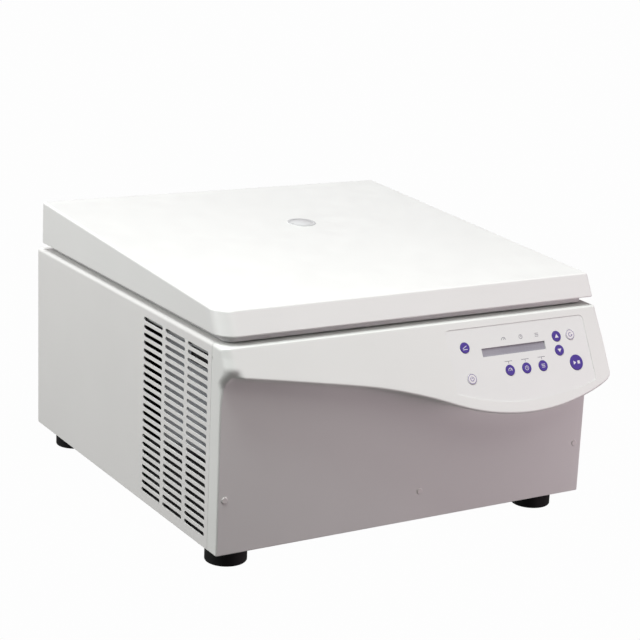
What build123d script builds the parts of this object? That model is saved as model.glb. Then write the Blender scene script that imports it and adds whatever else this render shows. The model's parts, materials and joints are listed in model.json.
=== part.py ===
from build123d import *
import math
import os

# Microplate centrifuge with a two-place swing-out plate rotor.
# Millimetres, +X to the user's right, +Y to the rear, +Z up.
# The origin is at the centre of the footprint, on the bench surface.

# ---------------------------------------------------------------- driving dimensions
HALF_W = 268.25          # half width of the casing
Z_BOT = 32.0             # underside of the base plate, height of the feet
Z_SKIRT = 30.0           # lower edge of the cover and the side sheets
Z_DECK = 284.0           # top deck
Y_FRONT = -244.3         # lower front face
Y_SEAM = -222.0          # seam between the front cover and the side sheets
Y_REAR = 302.5           # outside of the rear sheet
REAR_OUT = 1.2           # how far fittings stand off the rear sheet
T_SHEET = 1.5            # casing sheet
BEND = 5.0               # bend of the side sheets into the deck
T_COVER = 3.0            # moulded front cover wall
NOSE_K = 0.513           # forward run of the sloping face per mm of drop
NOSE_Y0 = -249.5         # sloping face at deck height
LEFT_R = 14.0            # plan radius of the front left corner
RIGHT_R = 7.0            # plan radius of the front right corner

AX, AY = 30.75, 94.0     # drive axis in plan
BOWL_R = 172.0           # chamber bore
BOWL_FLOOR = 138.0
BOWL_T = 1.2
RING_R0, RING_R1 = 178.0, 183.0   # guard ring round the chamber

LID_HALF = 267.4
LID_Z0 = 293.3           # underside of the lid
LID_WALL = 4.0
HINGE_Y, HINGE_Z = 298.0, 300.0
SHAFT_R = 4.0

TRUN_X = 92.0            # trunnions, from the drive axis
TRUN_Z = 206.0
TRUN_R = 5.0
FIT = 0.05               # radial play of a running fit

KEY_TRAVEL = 0.8

FEET = [(-226.0, -190.5), (234.5, -189.5), (-224.0, 275.5), (234.5, 275.5)]
FOOT_R = 26.0

os.makedirs("parts", exist_ok=True)


def put(name, *shapes):
    solids = []
    for s in shapes:
        solids += list(s.solids())
    shape = solids[0] if len(solids) == 1 else Compound(children=solids)
    export_step(shape, "parts/" + name + ".step")
    print(name, len(solids), round(sum(s.volume for s in solids), 1), flush=True)


def block(x0, x1, y0, y1, z0, z1):
    return Pos((x0 + x1) / 2, (y0 + y1) / 2, (z0 + z1) / 2) * Box(abs(x1 - x0), abs(y1 - y0), abs(z1 - z0))


def cyl_z(x, y, z0, z1, r):
    return Pos(x, y, (z0 + z1) / 2) * Cylinder(r, z1 - z0)


def cyl_y(x, z, y0, y1, r):
    return Pos(x, (y0 + y1) / 2, z) * Rot(90, 0, 0) * Cylinder(r, y1 - y0)


def cyl_x(y, z, x0, x1, r):
    return Pos((x0 + x1) / 2, y, z) * Rot(0, 90, 0) * Cylinder(r, x1 - x0)


def ring_z(x, y, z0, z1, r0, r1):
    return cyl_z(x, y, z0, z1, r1) - cyl_z(x, y, z0 - 1, z1 + 1, r0)


def soften(shape, edges, *radii):
    for r in radii:
        try:
            out = fillet(edges, r)
            if out.is_valid and out.volume > 0:
                return out
        except Exception:
            pass
    print("  edge left square")
    return shape


def only(shape):
    s = shape.solids()
    return max(s, key=lambda q: q.volume)


def line_cross(p, q, r, s):
    d1 = (q[0] - p[0], q[1] - p[1])
    d2 = (s[0] - r[0], s[1] - r[1])
    det = d1[0] * d2[1] - d1[1] * d2[0]
    t = ((r[0] - p[0]) * d2[1] - (r[1] - p[1]) * d2[0]) / det
    return (p[0] + t * d1[0], p[1] + t * d1[1])


def inset(poly, offs):
    """Move each side of a counter-clockwise polygon inward by its own amount."""
    n = len(poly)
    sides = []
    for i in range(n):
        a, b = poly[i], poly[(i + 1) % n]
        d = math.hypot(b[0] - a[0], b[1] - a[1])
        nx, ny = -(b[1] - a[1]) / d, (b[0] - a[0]) / d
        o = offs[i]
        sides.append(((a[0] + nx * o, a[1] + ny * o), (b[0] + nx * o, b[1] + ny * o)))
    return [line_cross(*sides[i - 1], *sides[i]) for i in range(n)]


def prism_x(poly_yz, x0, x1):
    """Extrude a polygon given in (y, z) from x0 to x1."""
    pl = Plane(origin=(x0, 0, 0), x_dir=(0, 1, 0), z_dir=(1, 0, 0))
    return extrude(pl * make_face(Polyline(*poly_yz, close=True)), x1 - x0)


def slanted(y, z):
    return NOSE_Y0 - NOSE_K * (Z_DECK - z)


# sloping control face: local x = x, local y = up the slope, local z = outward
N_LEN = math.hypot(1, NOSE_K)
NORMAL = (0.0, -1 / N_LEN, NOSE_K / N_LEN)
Z_S0 = 283.3
FACE = Plane(origin=(0, NOSE_Y0 - NOSE_K * (Z_DECK - Z_S0), Z_S0), x_dir=(1, 0, 0), z_dir=NORMAL)


def on_face(x, s, w):
    """Location on the control face: x, distance down the slope, height off the face."""
    return FACE * Pos(x, -s, w)


def face_cyl(x, s, w0, w1, r):
    return on_face(x, s, (w0 + w1) / 2) * Cylinder(r, w1 - w0)


def face_box(x0, x1, s0, s1, w0, w1):
    return on_face((x0 + x1) / 2, (s0 + s1) / 2, (w0 + w1) / 2) * Box(x1 - x0, s1 - s0, w1 - w0)


# ---------------------------------------------------------------- front cover
LIP = [(-246.0, 248.4), (-197.0, 240.9), (-150.0, 233.4), (-104.0, 226.0), (-62.0, 217.8), (-30.0, 209.6), (2.0, 200.1),
       (34.0, 189.0), (67.0, 180.0), (98.0, 174.8), (125.0, 172.5), (150.0, 172.4), (189.0, 176.0), (216.0, 181.2), (244.0, 188.9), (262.5, 196.4)]
LIP_A, LIP_B = math.radians(-8.5), math.radians(27.0)    # slope of the lip at its two ends


def nose_profile(xl, xr, dz, ztop):
    """Front view outline of the brow: lip curve, its two round ends and the top."""
    pts = [(x, z + dz) for x, z in LIP]
    r_l = (pts[0][0] - xl) / (1 + math.sin(LIP_A))
    r_r = (xr - pts[-1][0]) / (1 - math.sin(LIP_B))
    c_l = (pts[0][0] - r_l * math.sin(LIP_A), pts[0][1] + r_l * math.cos(LIP_A))
    c_r = (pts[-1][0] - r_r * math.sin(LIP_B), pts[-1][1] + r_r * math.cos(LIP_B))
    ta, tb = math.pi + (math.pi / 2 + LIP_A) / 2, (LIP_B - math.pi / 2) / 2
    left, right = (xl, c_l[1]), (xr, c_r[1])
    arc_l = ThreePointArc(left, (c_l[0] + r_l * math.cos(ta), c_l[1] + r_l * math.sin(ta)), pts[0])
    arc_r = ThreePointArc(pts[-1], (c_r[0] + r_r * math.cos(tb), c_r[1] + r_r * math.sin(tb)), right)
    lip = Spline(*pts, tangents=[(math.cos(LIP_A), math.sin(LIP_A)), (math.cos(LIP_B), math.sin(LIP_B))])
    return make_face([arc_l, lip, arc_r, Line(right, (xr, ztop)), Line((xr, ztop), (xl, ztop)), Line((xl, ztop), left)])


def nose(xl, xr, dz, ztop, wall):
    xz = Plane(origin=(0, Y_SEAM, 0), x_dir=(1, 0, 0), z_dir=(0, -1, 0))
    body = extrude(xz * nose_profile(xl, xr, dz, ztop), 110)
    # everything in front of the sloping plane goes
    cut = FACE * Pos(0, -60, 100 - wall) * Box(900, 700, 200)
    return only(body - cut)


def cover_block(half, y_front, z0, z1, r_top, r_low, r_right, y_back):
    """Upright part of the front cover; its left corner goes from round to nearly square."""
    k = 1 - math.sqrt(0.5)

    def section(rl):
        a, b, c = (-half, y_back), (-half, y_front + rl), (-half + rl, y_front)
        d, e, f = (half - r_right, y_front), (half, y_front + r_right), (half, y_back)
        return make_face([Line(a, b), ThreePointArc(b, (-half + rl * k, y_front + rl * k), c), Line(c, d),
                          ThreePointArc(d, (half - r_right * k, y_front + r_right * k), e), Line(e, f), Line(f, a)])
    za, zb = 226.0, 262.0
    low = extrude(Pos(0, 0, z0) * section(r_low), za - z0)
    mid = loft([Pos(0, 0, za) * section(r_low), Pos(0, 0, zb) * section(r_top)], ruled=True)
    top = extrude(Pos(0, 0, zb) * section(r_top), z1 - zb)
    return low + mid + top


def on_slope(e):
    for t in (0.0, 0.3, 0.7, 1.0):
        p = FACE.to_local_coords(e @ t)
        if abs(p.Z) > 0.02:
            return False
    return True


def edges_at_top(shape, z, y_skip):
    out = []
    for e in shape.edges():
        ps = (e @ 0, e @ 0.5, e @ 1)
        if all(abs(p.Z - z) < 0.01 for p in ps) and not all(abs(p.Y - y_skip) < 0.01 for p in ps):
            out.append(e)
    return out


BROW_X0 = -262.0
brow = nose(BROW_X0, HALF_W, 0.0, Z_DECK, 0.0)
rim = [e for e in brow.edges() if on_slope(e) and not (abs((e @ 0).Z - Z_DECK) < 0.01 and abs((e @ 1).Z - Z_DECK) < 0.01)]
brow = only(soften(brow, rim, 2.5, 2.0))
outer = only(cover_block(HALF_W, Y_FRONT, Z_SKIRT, Z_DECK, LEFT_R, 2.5, 2.0, Y_SEAM) + brow)
outer = only(soften(outer, edges_at_top(outer, Z_DECK, Y_SEAM), 3.0, 2.5, 2.0, 1.5, 1.0))
hollow = cover_block(HALF_W - T_COVER, Y_FRONT + T_COVER, Z_SKIRT - 1, Z_DECK - T_COVER, LEFT_R - 3, 1.0, 1.0, Y_SEAM + 1)
hollow = hollow + nose(BROW_X0 + 4, HALF_W - T_COVER, T_COVER + 0.5, Z_DECK - T_COVER, T_COVER)
front_cover = outer - hollow

# control panel layout: distance across and down the sloping face
KEYS = {
    "key_open_lid": (55.45, 33.4, 6.7),
    "key_standby": (56.45, 72.4, 6.7),
    "key_up": (196.15, 33.4, 6.7),
    "key_down": (196.15, 51.4, 6.7),
    "key_short_spin": (217.75, 33.4, 6.7),
    "key_start_stop": (218.3, 69.6, 9.8),
    "key_speed": (115.15, 68.0, 6.7),
    "key_time": (140.55, 68.0, 6.7),
    "key_program": (166.05, 68.0, 6.7),
}
DISP_X0, DISP_X1, DISP_S0, DISP_S1 = 79.25, 176.3, 37.0, 47.6
PANEL_DEPTH = 0.9
PANEL_T = 0.4


def panel_outline(g):
    """Outline of the inset control panel; g shrinks it all round."""
    x0, x1, s0 = 31.0 + g, 243.3 - g, 9.8 + g
    r = 6.0 - g
    low = [(x0, 88.6 - g), (66.0, 99.2 - g), (96.0, 105.4 - g), (126.0, 108.2 - g), (158.0, 107.9 - g), (192.0, 104.8 - g), (x1 - r, 96.5 - g)]
    low = [(x, -s) for x, s in low]
    curve = Spline(*low, tangents=[(0.94, -0.33), (0.96, 0.28)])
    end = low[-1]
    c = (x1, end[1] + r + 1.8)
    return make_face([Line((x0, -(s0 + r)), low[0]), curve,
                      ThreePointArc(end, (x1 - r * 0.28, end[1] + r * 0.32 + 0.5), c),
                      Line(c, (x1, -(s0 + r))),
                      ThreePointArc((x1, -(s0 + r)), (x1 - r * 0.293, -(s0 + r * 0.293)), (x1 - r, -s0)),
                      Line((x1 - r, -s0), (x0 + r, -s0)),
                      ThreePointArc((x0 + r, -s0), (x0 + r * 0.293, -(s0 + r * 0.293)), (x0, -(s0 + r)))])


seat = FACE * Pos(0, 0, -PANEL_DEPTH) * extrude(panel_outline(0.0), 5)
front_cover = front_cover - seat
for px, ps in ((46.8, 23), (232, 24), (46.6, 82.2), (232, 80)):
    front_cover = front_cover + face_cyl(px, ps, -12.4, -T_COVER + 0.2, 3.2)
overlay = FACE * Pos(0, 0, -PANEL_DEPTH) * extrude(panel_outline(0.15), PANEL_T)
for name, (kx, ks, kr) in KEYS.items():
    hole = face_cyl(kx, ks, -8, 5, kr + 0.4)
    front_cover = front_cover - hole
    overlay = overlay - hole
window = face_box(DISP_X0, DISP_X1, DISP_S0, DISP_S1, -8, 5)
front_cover = front_cover - window
overlay = overlay - window
COVER_SCREWS = [(-258.85, 98.7), (15.25, 67.7), (256.05, 97.3)]
for sx, sz in COVER_SCREWS:
    front_cover = front_cover - cyl_y(sx, sz, Y_FRONT - 5, Y_FRONT + 5, 2.4)
# notch that takes the tab of the side sheet
front_cover = front_cover - block(-HALF_W - 1, -HALF_W + 1.2, Y_SEAM - 1.0, Y_SEAM + 1, 263.5, 269.0)
put("front_cover", only(front_cover))
put("panel_overlay", only(overlay))
cover_screws = []
for sx, sz in COVER_SCREWS:
    head = cyl_y(sx, sz, Y_FRONT - 1.2, Y_FRONT, 4.0)
    head = soften(head, [e for e in head.edges() if e.geom_type == GeomType.CIRCLE and e.center().Y < Y_FRONT - 1], 1.0, 0.7)
    cover_screws.append(only(head + cyl_y(sx, sz, Y_FRONT - 0.5, Y_FRONT + 11, 2.0)))
put("front_cover_screws", *cover_screws)

# keys: a cap with a retaining flange behind the cover and a stem towards its switch
for name, (kx, ks, kr) in KEYS.items():
    cap = face_cyl(kx, ks, -4.0, 0.1, kr)
    rim_e = [e for e in cap.edges() if e.geom_type == GeomType.CIRCLE and FACE.to_local_coords(e.center()).Z > 0]
    cap = soften(cap, rim_e, 0.4)
    key = cap + face_cyl(kx, ks, -4.9, -3.5, kr + 1.3) + face_cyl(kx, ks, -7.0, -4.8, 2.0)
    put(name, only(key))

# display behind the panel window
put("display_lens", only(face_box(DISP_X0 + 0.1, DISP_X1 - 0.1, DISP_S0 + 0.1, DISP_S1 - 0.1, -2.6, -1.8)))
disp = face_box(DISP_X0 - 6, DISP_X1 + 6, DISP_S0 - 6, DISP_S1 + 5.5, -8.6, -3.2) + \
    face_box(DISP_X0 + 0.3, DISP_X1 - 0.3, DISP_S0 + 0.3, DISP_S1 - 0.3, -3.4, -2.65)
put("display_module", only(disp))
board = face_box(44, 236, 19, 85, -14.0, -12.4)
for name, (kx, ks, kr) in KEYS.items():
    board = board + face_box(kx - 3, kx + 3, ks - 3, ks + 3, -12.4, -9.6) + face_cyl(kx, ks, -9.7, -8.15, 1.7)
board = board + face_box(86, 168, 34, 50, -12.4, -8.7)
put("control_board", only(board))

# ---------------------------------------------------------------- casing sheets
base = block(-265.0, 265.0, Y_FRONT + 3.2, Y_REAR - 1.6, Z_BOT, Z_BOT + 3)
base = fillet([e for e in base.edges() if abs((e @ 0).Z - (e @ 1).Z) > 1 and (e @ 0).Y < 0], 5.0)
base = base + block(2.0, 28.0, Y_FRONT + 3.2, Y_FRONT + 5.7, Z_BOT, 78.0) - cyl_y(15.25, 67.7, Y_FRONT, Y_FRONT + 10, 2.05)
for fx, fy in FEET:
    base = base - cyl_z(fx, fy, 0, 60, 4.2)
for gx in range(-2, 3):
    base = base - Pos(AX + gx * 22, AY, Z_BOT) * extrude(SlotOverall(60, 8, rotation=90), 10, both=True)
put("base_plate", only(base))

side = block(-HALF_W, -HALF_W + 12, Y_SEAM + 0.5, Y_REAR, Z_SKIRT, Z_DECK)
bend = [e for e in side.edges() if abs((e @ 0).X + HALF_W) < 0.01 and abs((e @ 1).X + HALF_W) < 0.01
        and abs((e @ 0).Z - Z_DECK) < 0.01 and abs((e @ 1).Z - Z_DECK) < 0.01]
side = fillet(bend, BEND)
core = block(-HALF_W + T_SHEET, -HALF_W + 20, Y_SEAM - 5, Y_REAR + 5, Z_BOT - 5, Z_DECK - T_SHEET)
bend = [e for e in core.edges() if abs((e @ 0).X + HALF_W - T_SHEET) < 0.01 and abs((e @ 1).X + HALF_W - T_SHEET) < 0.01
        and abs((e @ 0).Z - Z_DECK + T_SHEET) < 0.01 and abs((e @ 1).Z - Z_DECK + T_SHEET) < 0.01]
core = fillet(bend, BEND - T_SHEET)
side = only(side - core)
side = soften(side, [e for e in side.edges() if abs((e @ 0).X + HALF_W) < 0.01 and abs((e @ 1).X + HALF_W) < 0.01
                     and abs((e @ 0).Z - Z_SKIRT) < 0.01 and abs((e @ 1).Z - Z_SKIRT) < 0.01], 1.2, 0.8)
VENT_COLS = [(-93.3, -41.5), (-153.2, -101.0), (-213.0, -161.0)]
VENT_Z0, VENT_PITCH, VENT_N, VENT_H = 46.3, 10.055, 23, 5.7
right = only(mirror(side, Plane.YZ))
vent_plane = Plane(origin=(-HALF_W - 1, 0, 0), x_dir=(0, -1, 0), z_dir=(-1, 0, 0))
slots = []
for ya, yb in VENT_COLS:
    for k in range(VENT_N):
        slots.append(Pos(-(ya + yb) / 2, VENT_Z0 + k * VENT_PITCH) * SlotOverall(yb - ya, VENT_H))
cutter = extrude(vent_plane * Sketch(children=slots), -4)
left = side - cutter
put("left_side_panel", only(left))
put("right_side_panel", right)

deck = block(-256.0, 256.0, Y_SEAM + 0.5, Y_REAR - 1.7, Z_DECK - T_SHEET, Z_DECK)
deck = deck - cyl_z(AX, AY, 200, 300, BOWL_R + BOWL_T + 1.3)
deck = deck - block(-16, 16, -211, -196, 200, 300)
for hx in (-170, 170):
    for dx in (-18, 18):
        deck = deck - cyl_z(hx + dx, 296, 200, 300, 2.2)
put("top_deck", only(deck))

FAN_X, FAN_Z = -200.0, 160.0
INLET_X, SWITCH_X, REAR_Z = 180.0, 224.0, 74.0
rear = block(-HALF_W + 1.7, HALF_W - 1.7, Y_REAR - T_SHEET, Y_REAR, Z_BOT, Z_DECK - T_SHEET - 0.1)
rear = rear - cyl_y(FAN_X, FAN_Z, 290, 310, 38.0)
rear = rear - block(INLET_X - 14.2, INLET_X + 14.2, 290, 310, REAR_Z - 11.2, REAR_Z + 11.2)
rear = rear - block(SWITCH_X - 9.7, SWITCH_X + 9.7, 290, 310, REAR_Z - 13.7, REAR_Z + 13.7)
for gx in (-60, 60):
    for k in range(6):
        rear = rear - block(gx - 32, gx + 32, 290, 310, 60 + k * 10, 64 + k * 10)
rear = fillet([e for e in rear.edges() if abs((e @ 0).Y - (e @ 1).Y) > 1 and abs(abs((e @ 0).X) - HALF_W + 1.7) < 0.01 and (e @ 0).Z > 200], 3.5)
REAR_SCREWS = [(-255, 50), (-255, 150), (-255, 262), (255, 50), (255, 150), (255, 262)]
for sx, sz in REAR_SCREWS:
    rear = rear - cyl_y(sx, sz, 290, 310, 2.2)
put("rear_panel", only(rear))

# corner posts, top rails and the front bracket are one welded frame in six members
posts = []
for sx in (-1, 1):
    xo = 264.8 * sx
    xi = (264.8 - 22) * sx
    fr = block(xo, xi, Y_FRONT + 3.3, -226.0, 35.0, 200.0) - block(xo - 2 * sx, xi - 5 * sx, Y_FRONT + 5.3, -220.0, 30.0, 205.0)
    if sx < 0:
        fr = fr - cyl_y(-258.85, 98.7, -250, -235, 2.05)
    else:
        fr = fr - cyl_y(256.05, 97.3, -250, -235, 2.05)
    fr = fillet([e for e in fr.edges() if abs((e @ 0).Z - (e @ 1).Z) > 50 and abs((e @ 0).X - xo) < 0.01 and abs((e @ 0).Y - Y_FRONT - 3.3) < 0.01], 4.0)
    posts.append(only(fr))
    rr = block(xo, xi, 280.0, Y_REAR - 1.6, 35.0, 282.1) - block(xo - 2 * sx, xi - 5 * sx, 270.0, Y_REAR - 3.6, 30.0, 290.0)
    for s2x, s2z in REAR_SCREWS:
        rr = rr - cyl_y(s2x, s2z, 290, 310, 2.05)
    posts.append(only(rr))
    rl = block(xo, xi, -221.0, 279.9, 266.0, 282.1) - block(xo - 2 * sx, xi - 5 * sx, -230, 285, 260.0, 280.3)
    posts.append(only(rl))
put("inner_frame", *posts)

feet = []
for fx, fy in FEET:
    f = cyl_z(fx, fy, 0, Z_BOT, FOOT_R)
    f = soften(f, [e for e in f.edges() if e.geom_type == GeomType.CIRCLE and (e @ 0).Z < 1], 2.0)
    f = f - cyl_z(fx, fy, -1, 14, 9.0) - cyl_z(fx, fy, 0, 60, 4.2)
    feet.append(only(f))
put("rubber_feet", *feet)
screws = []
for fx, fy in FEET:
    screws.append(only(cyl_z(fx, fy, 9.5, 14, 7.0) + cyl_z(fx, fy, 13.9, 40, 3.9) - cyl_z(fx, fy, 8, 12, 2.6)))
for sx, sz in REAR_SCREWS:
    screws.append(only(cyl_y(sx, sz, Y_REAR, Y_REAR + REAR_OUT, 4.0) + cyl_y(sx, sz, Y_REAR - 10, Y_REAR + 0.1, 1.95) - cyl_y(sx, sz, Y_REAR + 0.6, Y_REAR + 3, 1.3)))
put("chassis_screws", *screws)

# ---------------------------------------------------------------- chamber
bo = cyl_z(AX, AY, BOWL_FLOOR - BOWL_T, Z_DECK + BOWL_T, BOWL_R + BOWL_T)
bo = fillet([e for e in bo.edges() if e.geom_type == GeomType.CIRCLE and (e @ 0).Z < 200], 15.2)
bi = cyl_z(AX, AY, BOWL_FLOOR, Z_DECK + 10, BOWL_R)
bi = fillet([e for e in bi.edges() if e.geom_type == GeomType.CIRCLE and (e @ 0).Z < 200], 14.0)
bowl = bo + cyl_z(AX, AY, Z_DECK, Z_DECK + BOWL_T, BOWL_R + 15)
bowl = bowl - bi - cyl_z(AX, AY, 100, 160, 24.0)
put("chamber_bowl", only(bowl))
put("armor_ring", only(ring_z(AX, AY, 35.0, 282.0, RING_R0, RING_R1)))
gz = Z_DECK + BOWL_T
gasket = ring_z(AX, AY, gz, 293.4, BOWL_R + 3, BOWL_R + 13)
gasket = soften(gasket, [e for e in gasket.edges() if e.geom_type == GeomType.CIRCLE and (e @ 0).Z > 293], 2.2)
put("chamber_gasket", only(gasket))

# ---------------------------------------------------------------- drive
can = cyl_z(AX, AY, 62, 130, 60)
can = soften(can, [e for e in can.edges() if e.geom_type == GeomType.CIRCLE], 3.0)
can = can - cyl_z(AX, AY, 69, 124, 55) - cyl_z(AX, AY, 50, 140, 16.05)
for k in range(24):
    can = can - Pos(AX, AY, 96) * Rot(0, 0, k * 15) * Pos(60.0, 0, 0) * Box(3.0, 4.0, 46.0)
put("motor_housing", only(can))
put("motor_stator", only(ring_z(AX, AY, 76, 116, 36.2, 54.6)))
put("motor_bearings", only(ring_z(AX, AY, 62.2, 68.8, 8.05, 16.0)), only(ring_z(AX, AY, 124.2, 129.8, 8.05, 16.0)))
put("motor_rotor", only(ring_z(AX, AY, 78, 114, 8.02, 35.4)))
plate = cyl_z(AX, AY, 56, 61.9, 96) - cyl_z(AX, AY, 50, 70, 20)
mounts = []
for k in range(4):
    a = math.radians(45 + 90 * k)
    mx, my = AX + 80 * math.cos(a), AY + 80 * math.sin(a)
    plate = plate - cyl_z(mx, my, 50, 70, 3.2)
    m = cyl_z(mx, my, 35, 56, 12)
    m = m - (Pos(mx, my, 45.5) * Torus(14.0, 3.2))
    mounts.append(only(m))
put("motor_mount_plate", only(plate))
put("vibration_mounts", *mounts)
shaft = cyl_z(AX, AY, 58, 222, 8.0) + cyl_z(AX, AY, 158, 165.9, 14) + cyl_z(AX, AY, 222, 240, 5.0)
put("drive_shaft", only(shaft))
boot_o = Pos(AX, AY, (BOWL_FLOOR + 152) / 2) * Cone(36, 15, 152 - BOWL_FLOOR)
boot_i = Pos(AX, AY, (BOWL_FLOOR + 152) / 2 - 1) * Cone(34, 11.5, 152 - BOWL_FLOOR + 2)
boot = boot_o - boot_i - cyl_z(AX, AY, 100, 160, 11.0)
put("shaft_boot", only(boot))

# ---------------------------------------------------------------- swing-out rotor
hub = cyl_z(AX, AY, 166, 216, 26) + cyl_z(AX, AY, 166, 182, 30)
cross = block(AX - 40, AX + 40, AY - 80, AY + 80, 197, 214)
for sy in (-1, 1):
    cross = cross - block(AX - 22, AX + 22, AY + sy * 36, AY + sy * 66, 190, 220)
yoke = hub + cross
for sy in (-1, 1):
    y0, y1 = (AY + 76, AY + 88) if sy > 0 else (AY - 88, AY - 76)
    beam = block(AX - 104, AX + 104, y0, y1, 195.5, 216.5)
    beam = soften(beam, [e for e in beam.edges() if abs((e @ 0).Y - (e @ 1).Y) > 5], 8.0, 5.0)
    yoke = yoke + beam
yoke = yoke - cyl_z(AX, AY, 150, 230, 8.03)
for sx in (-1, 1):
    yoke = yoke - cyl_y(AX + sx * TRUN_X, TRUN_Z, AY - 100, AY + 100, TRUN_R)
put("rotor_yoke", only(yoke))
pins = []
for sx in (-1, 1):
    for sy in (-1, 1):
        ya, yb = (AY + 67.8, AY + 88) if sy > 0 else (AY - 88, AY - 67.8)
        pins.append(only(cyl_y(AX + sx * TRUN_X, TRUN_Z, ya, yb, TRUN_R)))
put("trunnion_pins", *pins)
nut = cyl_z(AX, AY, 216.1, 238, 15)
nut = soften(nut, [e for e in nut.edges() if e.geom_type == GeomType.CIRCLE and (e @ 0).Z > 230], 3.0)
for k in range(8):
    a = math.radians(45 * k + 22.5)
    nut = nut - cyl_z(AX + 17.2 * math.cos(a), AY + 17.2 * math.sin(a), 210, 250, 3.6)
nut = nut - cyl_z(AX, AY, 210, 222.4, 8.1) - cyl_z(AX, AY, 220, 250, 5.05)
put("rotor_nut", only(nut))


def carrier(sx):
    cx = AX + sx * TRUN_X
    z0, z1 = TRUN_Z - 40, TRUN_Z + 12
    c = block(cx - 46, cx + 46, AY - 67, AY + 67, z0, z1)
    c = fillet([e for e in c.edges() if abs((e @ 0).Z - (e @ 1).Z) > 20], 5.0)
    c = soften(c, [e for e in c.edges() if abs((e @ 0).Z - z0) < 0.01 and abs((e @ 1).Z - z0) < 0.01], 1.5)
    inner = block(cx - 44, cx + 44, AY - 65, AY + 65, z0 + 2, z1 + 5)
    inner = fillet([e for e in inner.edges() if abs((e @ 0).Z - (e @ 1).Z) > 20], 3.0)
    c = c - inner
    for sy in (-1, 1):
        ya, yb = (AY + 66.5, AY + 75) if sy > 0 else (AY - 75, AY - 66.5)
        c = c + cyl_y(cx, TRUN_Z, ya, yb, 10.0)
    for sy in (-1, 1):
        ya, yb = (AY + 67.5, AY + 80) if sy > 0 else (AY - 80, AY - 67.5)
        c = c - cyl_y(cx, TRUN_Z, ya, yb, TRUN_R + FIT)
    # finger cut-outs in the two long walls, drain holes in the floor
    cut = block(cx - 60, cx + 60, AY - 38, AY + 38, z0 + 26, z1 + 10)
    cut = fillet([e for e in cut.edges() if abs((e @ 0).X - (e @ 1).X) > 20 and (e @ 0).Z < z1], 10.0)
    c = c - cut
    for hx in (-24, 0, 24):
        for hy in (-40, 0, 40):
            c = c - cyl_z(cx + hx, AY + hy, z0 - 5, z0 + 5, 5.0)
    return only(c)


put("plate_carrier_left", carrier(-1))
put("plate_carrier_right", carrier(1))

# ---------------------------------------------------------------- electrical parts
pcb = block(-258, -166, -92, 100, 45, 46.6)
for px, py in ((-252, -86), (-172, -86), (-252, 94), (-172, 94)):
    pcb = pcb + cyl_z(px, py, 35, 45.2, 3.0)
for px, py, pr, ph in ((-240, -60, 11, 34), (-214, -60, 11, 34), (-188, -60, 11, 34), (-240, -30, 8, 22), (-180, 70, 9, 26)):
    c = cyl_z(px, py, 46.4, 46.6 + ph, pr)
    pcb = pcb + soften(c, [e for e in c.edges() if e.geom_type == GeomType.CIRCLE and (e @ 0).Z > 60], 1.5)
for b in ((-250, -222, 0, 36, 30), (-214, -190, -24, 10, 22), (-214, -176, 24, 52, 16), (-250, -226, 52, 88, 24), (-214, -196, 64, 92, 20)):
    pcb = pcb + block(b[0], b[1], b[2], b[3], 46.4, 46.6 + b[4])
put("power_board", only(pcb))
tor = cyl_z(-205, 176, 35, 85, 42)
tor = soften(tor, [e for e in tor.edges() if e.geom_type == GeomType.CIRCLE and (e @ 0).Z > 60], 10.0, 6.0) - cyl_z(-205, 176, 40, 90, 11)
tor = tor + cyl_z(-205, 176, 35, 88, 3.0) + cyl_z(-205, 176, 79, 84, 10.5)
put("transformer", only(tor))
sink = block(-252, -247, -214, -98, 35, 275) + block(-252, -247, -99, -64, 86, 275)
for k in range(20):
    fy = -213.2 + k * 7.7
    sink = sink + block(-247.5, -217, fy, fy + 1.8, 60 if fy < -104 else 86, 275)
sink = sink - cyl_z(*FEET[0], 30, 44, 6.5)
put("heat_sink", only(sink))

# ---------------------------------------------------------------- fan, inlet and switch
FAN_Y0, FAN_Y1 = Y_REAR - 27.0, Y_REAR - 1.6
ff = block(FAN_X - 40, FAN_X + 40, FAN_Y0, FAN_Y1, FAN_Z - 40, FAN_Z + 40)
ff = fillet([e for e in ff.edges() if abs((e @ 0).Y - (e @ 1).Y) > 10], 4.0)
ff = ff - cyl_y(FAN_X, FAN_Z, FAN_Y0 - 5, FAN_Y1 + 5, 38.0)
ff = ff + cyl_y(FAN_X, FAN_Z, FAN_Y1 - 4, FAN_Y1, 15.0)
for k in range(4):
    ff = ff + Pos(FAN_X, FAN_Y1 - 2, FAN_Z) * Rot(0, 45 + 90 * k, 0) * Pos(27, 0, 0) * Box(26, 4, 4)
put("fan_frame", only(ff))
fr = cyl_y(FAN_X, FAN_Z, FAN_Y0 + 1.5, FAN_Y1 - 4.6, 14.0)
fr = soften(fr, [e for e in fr.edges() if e.geom_type == GeomType.CIRCLE and e.center().Y < FAN_Y0 + 5], 2.0)
for k in range(7):
    blade = Pos(FAN_X, (FAN_Y0 + FAN_Y1 - 4) / 2, FAN_Z) * Rot(0, k * 360 / 7, 0) * Pos(24.5, 0, 0) * Rot(38, 0, 0) * Box(23.5, 1.8, 20)
    fr = fr + blade
put("fan_rotor", only(fr))
guard = None
for rr in (12, 20, 28, 36, 42):
    g = cyl_y(FAN_X, FAN_Z, Y_REAR, Y_REAR + REAR_OUT, rr + 0.8) - cyl_y(FAN_X, FAN_Z, Y_REAR - 1, Y_REAR + 3, rr - 0.8)
    guard = g if guard is None else guard + g
for k in range(4):
    guard = guard + Pos(FAN_X, Y_REAR + REAR_OUT / 2, FAN_Z) * Rot(0, 45 + 90 * k, 0) * Pos(30, 0, 0) * Box(38, REAR_OUT, 2.0)
put("fan_guard", only(guard))

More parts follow.
